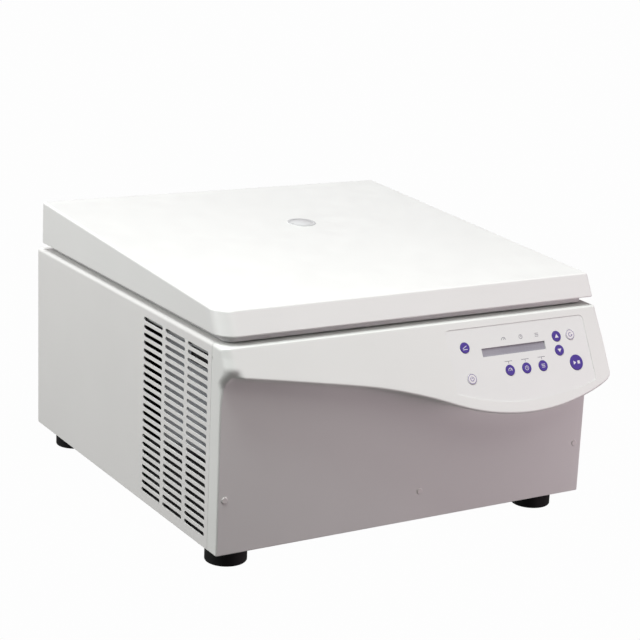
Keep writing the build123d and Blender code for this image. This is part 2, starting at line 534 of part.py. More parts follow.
inlet = block(INLET_X - 14, INLET_X + 14, 276, Y_REAR + 0.5, REAR_Z - 11, REAR_Z + 11)
inlet = inlet + block(INLET_X - 20, INLET_X + 20, Y_REAR, Y_REAR + REAR_OUT, REAR_Z - 14, REAR_Z + 14)
socket = block(INLET_X - 12, INLET_X + 12, 287, 310, REAR_Z - 8.5, REAR_Z + 8.5)
socket = chamfer([e for e in socket.edges() if abs((e @ 0).Y - (e @ 1).Y) > 10 and (e @ 0).Z > REAR_Z], 4.0)
inlet = inlet - socket
for dx, dz in ((-7, -1.5), (0, 2.5), (7, -1.5)):
    inlet = inlet + block(INLET_X + dx - 1, INLET_X + dx + 1, 286.5, 297.5, REAR_Z + dz - 2, REAR_Z + dz + 2)
put("mains_inlet", only(inlet))

RK_Y = Y_REAR - 4.2
sw = block(SWITCH_X - 9.5, SWITCH_X + 9.5, 282, Y_REAR + 0.5, REAR_Z - 13.5, REAR_Z + 13.5)
sw = sw + block(SWITCH_X - 11.5, SWITCH_X + 11.5, Y_REAR, Y_REAR + REAR_OUT, REAR_Z - 15.5, REAR_Z + 15.5)
sw = sw - block(SWITCH_X - 7.6, SWITCH_X + 7.6, 291, 310, REAR_Z - 10.9, REAR_Z + 10.9)
sw = sw - cyl_x(RK_Y, REAR_Z, SWITCH_X - 8.8, SWITCH_X + 8.8, 1.55)
put("power_switch", only(sw))
rock_pts = [(-5, -7), (1.5, -10), (3.0, -10), (4.4, 0), (3.0, 10), (1.5, 10), (-5, 7)]
t = math.radians(-7)
rock_pts = [(RK_Y + u * math.cos(t) - v * math.sin(t), REAR_Z + u * math.sin(t) + v * math.cos(t)) for u, v in rock_pts]
rocker = prism_x(rock_pts, SWITCH_X - 7.2, SWITCH_X + 7.2) + cyl_x(RK_Y, REAR_Z, SWITCH_X - 8.6, SWITCH_X + 8.6, 1.5)
put("power_rocker", only(rocker))

# ---------------------------------------------------------------- lid latch
lb = block(-22, 22, -193, -140, 262, Z_DECK - T_SHEET - 0.1)
lb = lb - block(-5.4, 5.4, -194, -150, 273.1, 278.9)
put("latch_body", only(lb))
pawl = block(-5, 5, -199, -160, 273.5, 278.5)
pawl = chamfer([e for e in pawl.edges() if abs((e @ 0).Y + 199) < 0.01 and abs((e @ 1).Y + 199) < 0.01 and (e @ 0).Z > 278 and (e @ 1).Z > 278], 1.8)
put("latch_pawl", only(pawl))
put("latch_motor", only(cyl_y(0, 270, -139.9, -104, 10) + cyl_y(0, 270, -104.2, -98, 4)))

# ---------------------------------------------------------------- lid hinge
blocks = []
for hx in (-170, 170):
    hb = block(hx - 24, hx + 24, 288, Y_REAR - 0.2, Z_DECK, Z_DECK + 4)
    for ex in (-17, 17):
        hb = hb + block(hx + ex - 5, hx + ex + 5, HINGE_Y - 5.7, Y_REAR - 0.2, Z_DECK, HINGE_Z) + cyl_x(HINGE_Y, HINGE_Z, hx + ex - 5, hx + ex + 5, 5.7)
    hb = hb - cyl_x(HINGE_Y, HINGE_Z, hx - 40, hx + 40, SHAFT_R + FIT)
    blocks.append(only(hb))
put("hinge_blocks", *blocks)
put("hinge_shaft", only(cyl_x(HINGE_Y, HINGE_Z, -196, 196, SHAFT_R)))
TOP_K = (351.0 - 321.5) / (285.0 + 231.0)
LID_POLY = [(-245.62, LID_Z0), (291.1, LID_Z0), (289.0, 321.5 + 520.0 * TOP_K), (-231.0, 321.5)]


def lid_body(poly, half, r_fl, r_fr, r_rear):
    b = prism_x(poly, -half, half)
    for e_sel, r in (((-1, 'f'), r_fl), ((1, 'f'), r_fr), ((-1, 'r'), r_rear), ((1, 'r'), r_rear)):
        es = []
        for e in b.edges():
            m = e @ 0.5
            if abs(m.X - e_sel[0] * half) < 0.05 and abs((e @ 0).Z - (e @ 1).Z) > 20 and ((m.Y < 0) == (e_sel[1] == 'f')):
                if abs((e @ 0).Y - (e @ 1).Y) < 40:
                    es.append(e)
        b = only(fillet(es, r))
    return b


lid = lid_body(LID_POLY, LID_HALF, 22.0, 3.5, 3.5)


def top_z(y):
    return 321.5 + (y + 231.0) * TOP_K


rim = [e for e in lid.edges() if all(abs((e @ t).Z - top_z((e @ t).Y)) < 0.02 for t in (0, 0.5, 1))]
lid = only(soften(lid, rim, 3.2, 3.0, 2.5, 2.0))
rim = [e for e in lid.edges() if all(abs((e @ t).Z - LID_Z0) < 0.02 for t in (0, 0.5, 1))]
lid = only(soften(lid, rim, 1.2, 0.8))
inner = lid_body(inset(LID_POLY, [-10, LID_WALL, LID_WALL, LID_WALL]), LID_HALF - LID_WALL, 18.0, 1.5, 1.5)
lid = lid - inner
n_top = math.hypot(1, TOP_K)
SIGHT = (AX - 1.5, AY - 2.0)      # centre of the sight window
TOP = Plane(origin=(SIGHT[0], SIGHT[1], top_z(SIGHT[1])), x_dir=(1, 0, 0), z_dir=(0, -TOP_K / n_top, 1 / n_top))


def top_cyl(w0, w1, r):
    return TOP * Pos(0, 0, (w0 + w1) / 2) * Cylinder(r, w1 - w0)


lid = lid - top_cyl(-8, 8, 18.0)
for hx in (-170, 170):
    lid = lid - block(hx - 13, hx + 13, 270, 300, 290, 309)
put("lid_shell", only(lid))

panel = block(-262.4, 262.4, -239.4, 286.0, LID_Z0 + 0.5, LID_Z0 + 2.0)
for ex, ey, r in ((-1, -1, 18.0), (1, -1, 4.0), (-1, 1, 3.0), (1, 1, 3.0)):
    panel = fillet([e for e in panel.edges() if abs((e @ 0).Z - (e @ 1).Z) > 1 and abs((e @ 0).X - ex * 262.4) < 0.01 and ((e @ 0).Y > 0) == (ey > 0)], r)
sight_y = SIGHT[1] + (top_z(SIGHT[1]) - 295) * TOP_K
panel = panel - cyl_z(SIGHT[0], sight_y, 280, 310, 15.7)
panel = panel - block(-11.5, 11.5, -206.0, -202.0, 280, 310)


def tray(half, y0, y1, z0, z1, r_fl, r):
    b = block(-half, half, y0, y1, z0, z1)
    for ex, ey, rr in ((-1, -1, r_fl), (1, -1, r), (-1, 1, r), (1, 1, r)):
        b = fillet([e for e in b.edges() if abs((e @ 0).Z - (e @ 1).Z) > 1 and abs((e @ 0).X - ex * half) < 0.01 and ((e @ 0).Y > 0) == (ey > 0)], rr)
    return b


# the skirt hangs from the inner panel, close over the deck
panel = panel + (tray(256.0, -234.6, 285.0, 285.4, LID_Z0 + 0.8, 12.0, 4.5) - tray(253.0, -231.6, 282.0, 280.0, 300.0, 9.0, 1.5))
put("lid_inner_panel", only(panel))
arm = block(-200, 240, -170, 262, LID_Z0 + 2.0, LID_Z0 + 7.0)
arm = fillet([e for e in arm.edges() if abs((e @ 0).Z - (e @ 1).Z) > 3], 25.0)
arm = arm - cyl_z(SIGHT[0], sight_y, 280, 320, 24.0)
put("lid_armor_plate", only(arm))
wring = top_cyl(0.0, 1.0, 19.4)
wring = soften(wring, [e for e in wring.edges() if e.geom_type == GeomType.CIRCLE and TOP.to_local_coords(e.center()).Z > 0.5], 0.8, 0.6)
wring = wring + top_cyl(-60, 0.5, 17.7)
wring = wring - top_cyl(-70, 10, 16.0) - block(-60, 120, 40, 150, 200, LID_Z0 + 2.1)
put("lid_window_ring", only(wring))
# shallow dome over the sight hole
lens_h, lens_r = 2.2, 15.9
ball = (lens_r * lens_r + lens_h * lens_h) / (2 * lens_h)
lens = top_cyl(-3.2, 5.0, lens_r) & (TOP * Pos(0, 0, 0.4 + lens_h - ball) * Sphere(ball))
put("lid_window", only(lens))
st = block(-11, 11, -205.5, -202.5, 266, LID_Z0 + 3) + block(-18, 18, -212, -196, LID_Z0 + 2.0, LID_Z0 + 5.0)
st = st - block(-7, 7, -210, -200, 271, 281.5)
put("lid_striker", only(st))
arms = []
for hx in (-170, 170):
    a = block(hx - 10, hx + 10, 205, HINGE_Y, LID_Z0 + 7.0, LID_Z0 + 12.5) + cyl_x(HINGE_Y, HINGE_Z, hx - 10, hx + 10, 5.7)
    a = a - cyl_x(HINGE_Y, HINGE_Z, hx - 20, hx + 20, SHAFT_R + FIT)
    arms.append(only(a))
put("lid_hinge_arms", *arms)
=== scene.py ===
import json
import math

import bmesh
import bpy
from mathutils import Matrix, Vector


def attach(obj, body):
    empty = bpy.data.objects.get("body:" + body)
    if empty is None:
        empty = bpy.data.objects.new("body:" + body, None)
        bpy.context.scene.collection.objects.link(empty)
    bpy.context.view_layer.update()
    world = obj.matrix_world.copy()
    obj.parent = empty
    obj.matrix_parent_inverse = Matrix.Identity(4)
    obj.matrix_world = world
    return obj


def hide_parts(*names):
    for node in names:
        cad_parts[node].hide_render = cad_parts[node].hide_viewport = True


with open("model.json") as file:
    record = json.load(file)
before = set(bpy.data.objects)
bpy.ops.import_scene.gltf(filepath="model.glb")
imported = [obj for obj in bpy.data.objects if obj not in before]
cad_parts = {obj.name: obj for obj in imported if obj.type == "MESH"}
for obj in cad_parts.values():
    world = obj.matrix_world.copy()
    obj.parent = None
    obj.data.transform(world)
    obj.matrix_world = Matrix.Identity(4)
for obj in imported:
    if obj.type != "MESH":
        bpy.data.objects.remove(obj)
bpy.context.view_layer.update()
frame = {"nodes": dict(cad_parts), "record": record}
NODES = frame["nodes"]
scene = bpy.context.scene
MM = 0.001

# ------------------------------------------------------------------ camera

CAM = Vector((-1158.65, -1914.1, 821.4)) * MM
YAW, PITCH, ROLL = (math.radians(v) for v in (31.39, 14.84, 2.44))
fwd = Vector((math.sin(YAW) * math.cos(PITCH), math.cos(YAW) * math.cos(PITCH), -math.sin(PITCH)))
right = fwd.cross(Vector((0, 0, 1))).normalized()
up = right.cross(fwd)
cam_right = right * math.cos(ROLL) + up * math.sin(ROLL)
cam_up = -right * math.sin(ROLL) + up * math.cos(ROLL)
cam_data = bpy.data.cameras.new("studio_camera")
cam_data.sensor_width = 36.0
cam_data.lens = 98.0
cam_data.clip_start = 0.05
cam_data.clip_end = 100.0
camera = bpy.data.objects.new("studio_camera", cam_data)
scene.collection.objects.link(camera)
camera.matrix_world = Matrix((
    (cam_right.x, cam_up.x, -fwd.x, CAM.x),
    (cam_right.y, cam_up.y, -fwd.y, CAM.y),
    (cam_right.z, cam_up.z, -fwd.z, CAM.z),
    (0, 0, 0, 1)))
scene.camera = camera
scene.view_settings.view_transform = "Standard"
scene.view_settings.look = "None"


# ------------------------------------------------------------------ helpers for materials

def lin(c):
    """An sRGB 0-255 triple as linear RGBA."""
    out = []
    for v in c:
        v = v / 255.0
        out.append(v / 12.92 if v <= 0.04045 else ((v + 0.055) / 1.055) ** 2.4)
    return (*out, 1.0)


def scaled(c, k):
    return (min(1.0, c[0] * k), min(1.0, c[1] * k), min(1.0, c[2] * k), 1.0)


class Mat:
    """A node material with a Principled shader and short calls for its texture nodes."""

    def __init__(self, name, **sockets):
        self.m = bpy.data.materials.new(name)
        self.m.use_nodes = True
        self.nt = self.m.node_tree
        self.nt.nodes.clear()
        self.out = self.nt.nodes.new("ShaderNodeOutputMaterial")
        self.b = self.nt.nodes.new("ShaderNodeBsdfPrincipled")
        self.link(self.b.outputs[0], self.out.inputs[0])
        self.tc = self.nt.nodes.new("ShaderNodeTexCoord").outputs["Object"]
        for k, v in sockets.items():
            self.b.inputs[k.replace("_", " ")].default_value = v

    def link(self, a, b):
        self.nt.links.new(a, b)

    def mapping(self, scale=(1, 1, 1), rot=(0, 0, 0), loc=(0, 0, 0), source=None):
        n = self.nt.nodes.new("ShaderNodeMapping")
        n.inputs["Scale"].default_value = scale
        n.inputs["Rotation"].default_value = rot
        n.inputs["Location"].default_value = loc
        self.link(source or self.tc, n.inputs[0])
        return n.outputs[0]

    def noise(self, scale, detail=2.0, rough=0.5, source=None, distortion=0.0):
        n = self.nt.nodes.new("ShaderNodeTexNoise")
        n.inputs["Scale"].default_value = scale
        n.inputs["Detail"].default_value = detail
        n.inputs["Roughness"].default_value = rough
        n.inputs["Distortion"].default_value = distortion
        self.link(source or self.tc, n.inputs["Vector"])
        return n.outputs["Fac"]

    def voronoi(self, scale, feature="F1", source=None, randomness=1.0):
        n = self.nt.nodes.new("ShaderNodeTexVoronoi")
        n.feature = feature
        n.inputs["Scale"].default_value = scale
        n.inputs["Randomness"].default_value = randomness
        self.link(source or self.tc, n.inputs["Vector"])
        return n.outputs["Distance"]

    def wave(self, scale, source=None, direction="X", distortion=0.0, profile="SIN"):
        n = self.nt.nodes.new("ShaderNodeTexWave")
        n.bands_direction = direction
        n.wave_profile = profile
        n.inputs["Scale"].default_value = scale
        n.inputs["Distortion"].default_value = distortion
        self.link(source or self.tc, n.inputs["Vector"])
        return n.outputs["Fac"]

    def brick(self, scale, source=None, mortar=0.02, width=0.5, height=0.25, offset=0.5):
        n = self.nt.nodes.new("ShaderNodeTexBrick")
        n.offset = offset
        n.inputs["Scale"].default_value = scale
        n.inputs["Mortar Size"].default_value = mortar
        n.inputs["Brick Width"].default_value = width
        n.inputs["Row Height"].default_value = height
        n.inputs["Color1"].default_value = (1, 1, 1, 1)
        n.inputs["Color2"].default_value = (0.85, 0.85, 0.85, 1)
        n.inputs["Mortar"].default_value = (0, 0, 0, 1)
        self.link(source or self.tc, n.inputs["Vector"])
        return n.outputs["Color"], n.outputs["Fac"]

    def ramp(self, fac, stops):
        n = self.nt.nodes.new("ShaderNodeValToRGB")
        el = n.color_ramp.elements
        while len(el) < len(stops):
            el.new(0.5)
        for e, (p, c) in zip(el, stops):
            e.position = p
            e.color = c
        self.link(fac, n.inputs[0])
        return n.outputs[0]

    def rng(self, fac, lo, hi, f0=0.0, f1=1.0, clamp=True):
        n = self.nt.nodes.new("ShaderNodeMapRange")
        n.clamp = clamp
        n.inputs["From Min"].default_value = f0
        n.inputs["From Max"].default_value = f1
        n.inputs["To Min"].default_value = lo
        n.inputs["To Max"].default_value = hi
        self.link(fac, n.inputs["Value"])
        return n.outputs[0]

    def math(self, op, a, b=None, c=None):
        n = self.nt.nodes.new("ShaderNodeMath")
        n.operation = op
        for i, v in enumerate((a, b, c)):
            if v is None:
                continue
            if isinstance(v, (int, float)):
                n.inputs[i].default_value = v
            else:
                self.link(v, n.inputs[i])
        return n.outputs[0]

    def mix(self, fac, a, b, blend="MIX"):
        n = self.nt.nodes.new("ShaderNodeMix")
        n.data_type = "RGBA"
        n.blend_type = blend
        for sock, v in ((n.inputs[0], fac), (n.inputs[6], a), (n.inputs[7], b)):
            if isinstance(v, (int, float, tuple)):
                sock.default_value = v
            else:
                self.link(v, sock)
        return n.outputs[2]

    def bump(self, height, strength=0.2, distance=0.001, chain=None):
        n = self.nt.nodes.new("ShaderNodeBump")
        n.inputs["Strength"].default_value = strength
        n.inputs["Distance"].default_value = distance
        self.link(height, n.inputs["Height"])
        if chain is not None:
            self.link(chain, n.inputs["Normal"])
        return n.outputs[0]

    def set(self, socket, value):
        if isinstance(value, (int, float, tuple)):
            self.b.inputs[socket].default_value = value
        else:
            self.link(value, self.b.inputs[socket])

    def xyz(self, source=None):
        n = self.nt.nodes.new("ShaderNodeSeparateXYZ")
        self.link(source or self.tc, n.inputs[0])
        return n.outputs[0], n.outputs[1], n.outputs[2]

    def combine(self, x, y, z):
        n = self.nt.nodes.new("ShaderNodeCombineXYZ")
        for i, v in enumerate((x, y, z)):
            if isinstance(v, (int, float)):
                n.inputs[i].default_value = v
            else:
                self.link(v, n.inputs[i])
        return n.outputs[0]


def paint(name, colour, rough=0.4, peel=0.10, peel_scale=700.0, var=0.025, spec=0.5, coat=0.0):
    """Enamel or powder coat: slow shade variation, fine orange peel, slightly uneven gloss."""
    m = Mat(name, Specular_IOR_Level=spec, Coat_Weight=coat)
    m.b.inputs["Coat Roughness"].default_value = 0.12
    slow = m.noise(5.0, 3.0, 0.55)
    fine = m.noise(2600.0, 1.0, 0.5)
    base = m.ramp(slow, [(0.25, scaled(colour, 1.0 - var)), (0.75, scaled(colour, 1.0 + var * 0.6))])
    m.set("Base Color", m.mix(m.rng(fine, 0.0, 0.035, 0.3, 0.7), base, scaled(colour, 0.55)))
    m.set("Roughness", m.rng(m.noise(38.0, 2.0), rough - 0.05, rough + 0.05, 0.3, 0.7))
    m.set("Normal", m.bump(m.noise(peel_scale, 2.0, 0.5), peel, 0.0004))
    return m.m


def plastic(name, colour, rough=0.45, grain=0.25, grain_scale=1500.0, var=0.03, spec=0.5):
    """Moulded plastic: spark-eroded grain from a cell pattern, slight mottling."""
    m = Mat(name, Specular_IOR_Level=spec)
    slow = m.noise(14.0, 3.0, 0.6)
    m.set("Base Color", m.ramp(slow, [(0.25, scaled(colour, 1.0 - var)), (0.75, scaled(colour, 1.0 + var))]))
    m.set("Roughness", m.rng(m.noise(60.0, 2.0), rough - 0.06, rough + 0.06, 0.3, 0.7))
    cells = m.voronoi(grain_scale, "SMOOTH_F1")
    m.set("Normal", m.bump(cells, grain, 0.0003))
    return m.m


def metal(name, colour, rough=0.3, axis="x", brush=0.25, var=0.05, scale=900.0, metallic=1.0):
    """Metal with a drawn or brushed grain along one axis (None for a blasted finish)."""
    m = Mat(name)
    m.b.inputs["Metallic"].default_value = metallic
    if axis is None:
        grain = m.noise(scale * 2.0, 2.0, 0.5)
    else:
        s = {"x": (0.02, 1, 1), "y": (1, 0.02, 1), "z": (1, 1, 0.02)}[axis]
        grain = m.noise(scale, 3.0, 0.6, source=m.mapping(s))
    slow = m.noise(9.0, 3.0, 0.55)
    tone = m.math("ADD", m.math("MULTIPLY", grain, 0.5), m.math("MULTIPLY", slow, 0.5))
    m.set("Base Color", m.ramp(tone, [(0.3, scaled(colour, 1.0 - var)), (0.7, scaled(colour, 1.0 + var))]))
    m.set("Roughness", m.rng(tone, rough - 0.08, rough + 0.08, 0.3, 0.7))
    m.set("Normal", m.bump(grain, brush, 0.00025))
    return m.m


# ------------------------------------------------------------------ materials

WHITE = lin((236, 236, 234))
MATS = {}
MATS["sheet_white"] = paint("sheet_white", lin((239, 240, 237)), rough=0.42, peel=0.12)
MATS["cover_white"] = paint("cover_white", lin((240, 243, 239)), rough=0.40, peel=0.06, peel_scale=500)
MATS["lid_white"] = paint("lid_white", lin((243, 245, 242)), rough=0.33, peel=0.05, peel_scale=450)
MATS["panel_film"] = paint("panel_film", lin((240, 243, 240)), rough=0.46, peel=0.05, peel_scale=2200, var=0.012)
MATS["plated_steel"] = metal("plated_steel", lin((186, 188, 190)), 0.38, "x", 0.10)
MATS["armor_steel"] = metal("armor_steel", lin((128, 130, 134)), 0.46, None, 0.20)
MATS["screw_steel"] = metal("screw_steel", lin((178, 180, 184)), 0.30, None, 0.10)
MATS["screw_white"] = paint("screw_white", lin((241, 241, 237)), rough=0.45, peel=0.08)
MATS["motor_alloy"] = metal("motor_alloy", lin((150, 152, 156)), 0.50, None, 0.35, scale=700)
MATS["motor_core"] = metal("motor_core", lin((96, 90, 84)), 0.5, "x", 0.30)
MATS["bearing_steel"] = metal("bearing_steel", lin((196, 198, 202)), 0.18, "z", 0.05)
MATS["heat_sink_alloy"] = metal("heat_sink_alloy", lin((204, 207, 213)), 0.34, "z", 0.22, var=0.14)
MATS["guard_wire"] = metal("guard_wire", lin((200, 202, 205)), 0.22, None, 0.05)
MATS["latch_motor_can"] = metal("latch_motor_can", lin((170, 172, 176)), 0.33, "x", 0.12)
MATS["hinge_steel"] = metal("hinge_steel", lin((160, 162, 166)), 0.36, "x", 0.15)
MATS["rotor_alloy"] = metal("rotor_alloy", lin((204, 206, 210)), 0.46, None, 0.18, scale=900)
MATS["rotor_nut_alloy"] = metal("rotor_nut_alloy", lin((150, 153, 160)), 0.32, "z", 0.10)
MATS["carrier_alloy"] = metal("carrier_alloy", lin((204, 207, 212)), 0.46, None, 0.16, scale=1100)
MATS["black_plastic"] = plastic("black_plastic", lin((30, 30, 32)), 0.48, 0.30)
MATS["display_body"] = plastic("display_body", lin((38, 38, 42)), 0.55, 0.20)
MATS["lid_liner"] = plastic("lid_liner", lin((206, 207, 206)), 0.50, 0.22, 900.0)
MATS["key_violet"] = plastic("key_violet", lin((86, 68, 158)), 0.42, 0.06, 1800.0, var=0.04)
MATS["key_pale"] = plastic("key_pale", lin((241, 241, 240)), 0.42, 0.06, 1800.0, var=0.02)
MATS["window_ring"] = plastic("window_ring", lin((208, 210, 210)), 0.30, 0.05, 1400.0)
MATS["print_white"] = plastic("print_white", lin((236, 236, 240)), 0.5, 0.05, 1800.0, var=0.01)
MATS["print_violet"] = plastic("print_violet", lin((120, 108, 168)), 0.5, 0.05, 1800.0, var=0.02)
MATS["print_grey"] = plastic("print_grey", lin((120, 120, 132)), 0.5, 0.05, 1800.0, var=0.02)


def foot_rubber():
    m = Mat("foot_rubber", Specular_IOR_Level=0.35)
    slow = m.noise(30.0, 4.0, 0.6)
    m.set("Base Color", m.ramp(slow, [(0.3, lin((10, 10, 11))), (0.7, lin((22, 22, 24)))]))
    m.set("Roughness", m.rng(m.noise(90.0, 3.0), 0.55, 0.78, 0.3, 0.7))
    m.set("Normal", m.bump(m.noise(1800.0, 2.0), 0.35, 0.0003))
    return m.m


def seal_rubber():
    m = Mat("seal_rubber", Specular_IOR_Level=0.4)
    slow = m.noise(22.0, 3.0, 0.6)
    m.set("Base Color", m.ramp(slow, [(0.3, lin((52, 53, 56))), (0.7, lin((70, 71, 74)))]))
    m.set("Roughness", m.rng(m.noise(80.0, 2.0), 0.50, 0.68, 0.3, 0.7))
    m.set("Normal", m.bump(m.noise(1500.0, 2.0), 0.22, 0.0003))
    return m.m


def stainless():
    """Spun stainless: the grain runs round the chamber's axis."""
    m = Mat("stainless")
    m.b.inputs["Metallic"].default_value = 1.0
    x, y, z = m.xyz(m.mapping(loc=(-0.03075, -0.094, 0)))
    r = m.math("SQRT", m.math("ADD", m.math("MULTIPLY", x, x), m.math("MULTIPLY", y, y)))
    a = m.math("ARCTAN2", y, x)
    v = m.combine(m.math("MULTIPLY", r, 1.0), m.math("MULTIPLY", a, 0.004), z)
    grain = m.noise(900.0, 3.0, 0.6, source=v)
    slow = m.noise(7.0, 3.0, 0.5)
    tone = m.math("ADD", m.math("MULTIPLY", grain, 0.6), m.math("MULTIPLY", slow, 0.4))
    m.set("Base Color", m.ramp(tone, [(0.3, lin((198, 200, 202))), (0.7, lin((218, 220, 222)))]))
    m.set("Roughness", m.rng(tone, 0.36, 0.50, 0.3, 0.7))
    m.set("Normal", m.bump(grain, 0.10, 0.0003))
    return m.m


def circuit_board():
    """Solder mask with traces in two directions and tinned pads."""
    m = Mat("circuit_board", Specular_IOR_Level=0.5)
    tr1, f1 = m.brick(160.0, mortar=0.06, width=1.6, height=0.32)
    tr2, f2 = m.brick(110.0, source=m.mapping(rot=(0.0, 0.0, 1.5708)), mortar=0.07, width=2.4, height=0.4)
    mask = m.ramp(m.noise(18.0, 2.0), [(0.3, lin((18, 78, 44))), (0.7, lin((26, 94, 54)))])
    lines = m.mix(m.math("MAXIMUM", f1, f2), mask, lin((52, 126, 78)))
    pads = m.rng(m.voronoi(240.0, randomness=0.15), 1.0, 0.0, 0.16, 0.2)
    m.set("Base Color", m.mix(pads, lines, lin((196, 192, 176))))
    m.set("Roughness", m.rng(pads, 0.38, 0.28))
    m.set("Normal", m.bump(m.math("MAXIMUM", m.math("MAXIMUM", f1, f2), pads), 0.35, 0.0002))
    return m.m


def transformer_wrap():
    """Amber tape over windings and a laminated core's stack lines."""
    m = Mat("transformer_wrap", Specular_IOR_Level=0.5)
    lam = m.wave(220.0, direction="Z")
    slow = m.noise(16.0, 3.0)
    base = m.ramp(slow, [(0.3, lin((120, 88, 40))), (0.7, lin((148, 110, 54)))])
    m.set("Base Color", m.mix(m.rng(lam, 0.0, 0.35), base, lin((60, 44, 26))))
    m.set("Roughness", m.rng(slow, 0.35, 0.55, 0.3, 0.7))
    m.set("Normal", m.bump(lam, 0.3, 0.0004))
    return m.m


def window_clear():
    """Slightly smoky acrylic with faint swirl marks."""
    m = Mat("window_clear", Specular_IOR_Level=0.5, IOR=1.49)
    m.b.inputs["Transmission Weight"].default_value = 0.22
    slow = m.noise(40.0, 3.0)
    m.set("Base Color", m.ramp(slow, [(0.3, lin((236, 238, 238))), (0.7, lin((244, 246, 246)))]))
    m.set("Roughness", m.rng(m.noise(300.0, 2.0), 0.10, 0.22, 0.3, 0.7))
    m.set("Normal", m.bump(m.noise(120.0, 2.0), 0.04, 0.0004))
    return m.m


def display_glass():
    """Unlit liquid-crystal field: two rows of character cells, each a fine dot grid, behind a satin cover."""
    m = Mat("display_glass", Specular_IOR_Level=0.4)
    m.b.inputs["Coat Weight"].default_value = 0.3
    m.b.inputs["Coat Roughness"].default_value = 0.25
    x, y, z = m.xyz()
    v = m.combine(x, m.math("MULTIPLY", z, 1.12), 0.0)
    cell, f = m.brick(1000.0 / 5.4, source=v, mortar=0.05, width=1.0, height=0.98, offset=0.0)
    dots = m.math("MULTIPLY", m.wave(1000.0 / 3.0, source=v, direction="X"), m.wave(1000.0 / 3.0, source=v, direction="Y"))
    base = m.ramp(m.noise(25.0, 2.0), [(0.3, lin((160, 159, 168))), (0.7, lin((168, 167, 175)))])
    inner = m.mix(m.rng(dots, 0.0, 0.10), base, lin((128, 131, 140)))
    m.set("Base Color", m.mix(m.math("MULTIPLY", f, 0.35), inner, lin((172, 175, 182))))
    m.set("Roughness", m.rng(m.noise(200.0, 2.0), 0.32, 0.44, 0.3, 0.7))
    m.set("Normal", m.bump(m.noise(900.0, 1.0), 0.03, 0.0002))
    return m.m


MATS["foot_rubber"] = foot_rubber()
MATS["seal_rubber"] = seal_rubber()
MATS["stainless"] = stainless()
MATS["circuit_board"] = circuit_board()
MATS["transformer_wrap"] = transformer_wrap()
MATS["window_clear"] = window_clear()
MATS["display_glass"] = display_glass()

SLOT_OF = {sub["node"]: sub["material_slot"] for sub in frame["record"].get("subparts", []) if sub.get("material_slot")}
for name, o in NODES.items():
    slot_name = SLOT_OF.get(name)
    if slot_name is None and o.data.materials and o.data.materials[0]:
        slot_name = o.data.materials[0].name.split(".")[0]
    if slot_name not in MATS:
        print("no material for", name, slot_name)
        continue
    o.data.materials.clear()
    o.data.materials.append(MATS[slot_name])

# ------------------------------------------------------------------ front cover moulding

HW, Y_LOW, Y_SEAM, Z_SKIRT, Z_DECK = 268.25, -244.3, -222.0, 30.0, 284.0
NOSE_K, NOSE_Y = 0.513, -249.5
SLOPE_N = math.sqrt(1.0 + NOSE_K * NOSE_K)
LIP = [(-246.0, 248.4), (-197.0, 240.9), (-150.0, 233.4), (-104.0, 226.0), (-62.0, 217.8), (-30.0, 209.6), (2.0, 200.1),
       (34.0, 189.0), (67.0, 180.0), (98.0, 174.8), (125.0, 172.5), (150.0, 172.4), (189.0, 176.0), (216.0, 181.2), (244.0, 188.9), (262.5, 196.4)]
TOP_FALL = 0.0496        # the moulding's top dips forward this much per mm


def spline(points, k0, k1):
    """Clamped cubic spline z(x) through points, with end slopes k0 and k1."""
    n = len(points)
    x = [p[0] for p in points]
    y = [p[1] for p in points]
    h = [x[i + 1] - x[i] for i in range(n - 1)]
    a, b, c, d = [0.0] * n, [0.0] * n, [0.0] * n, [0.0] * n
    b[0], c[0], d[0] = 2 * h[0], h[0], 6 * ((y[1] - y[0]) / h[0] - k0)
    for i in range(1, n - 1):
        a[i], b[i], c[i] = h[i - 1], 2 * (h[i - 1] + h[i]), h[i]
        d[i] = 6 * ((y[i + 1] - y[i]) / h[i] - (y[i] - y[i - 1]) / h[i - 1])
    a[n - 1], b[n - 1], d[n - 1] = h[-1], 2 * h[-1], 6 * (k1 - (y[-1] - y[-2]) / h[-1])
    for i in range(1, n):
        w = a[i] / b[i - 1]
        b[i] -= w * c[i - 1]
        d[i] -= w * d[i - 1]
    m = [0.0] * n
    m[-1] = d[-1] / b[-1]
    for i in range(n - 2, -1, -1):
        m[i] = (d[i] - c[i] * m[i + 1]) / b[i]

    def at(t):
        i = 0
        while i < n - 2 and t > x[i + 1]:
            i += 1
        u, v = (x[i + 1] - t), (t - x[i])
        return (m[i] * u ** 3 + m[i + 1] * v ** 3) / (6 * h[i]) + (y[i] / h[i] - m[i] * h[i] / 6) * u + (y[i + 1] / h[i] - m[i + 1] * h[i] / 6) * v
    return at


lip_mid = spline(LIP, math.tan(math.radians(-8.5)), math.tan(math.radians(27.0)))


def smooth(t, lo, hi):
    t = min(1.0, max(0.0, (t - lo) / (hi - lo)))
    return t * t * (3 - 2 * t)


def table(pairs, t):
    for (p, a), (q, b) in zip(pairs, pairs[1:]):
        if t <= q:
            return a if t <= p else a + (b - a) * (t - p) / (q - p)
    return pairs[-1][1]


def lip_at(x):
    if x < LIP[0][0]:
        d = min(16.0, LIP[0][0] - x)
        return LIP[0][1] + 0.15 * d + 0.02 * d * d
    if x > LIP[-1][0]:
        return 205.78 - math.sqrt(max(0.0, 10.53 ** 2 - (x - 257.72) ** 2))
    return lip_mid(x)


LEFT_RADIUS = [(210.0, 2.5), (217.0, 3.0), (227.0, 4.8), (237.0, 8.5), (246.0, 12.0), (256.0, 14.0), (272.0, 13.5), (284.0, 11.0)]
RIGHT_RADIUS = [(250.0, 2.2), (272.0, 5.0)]


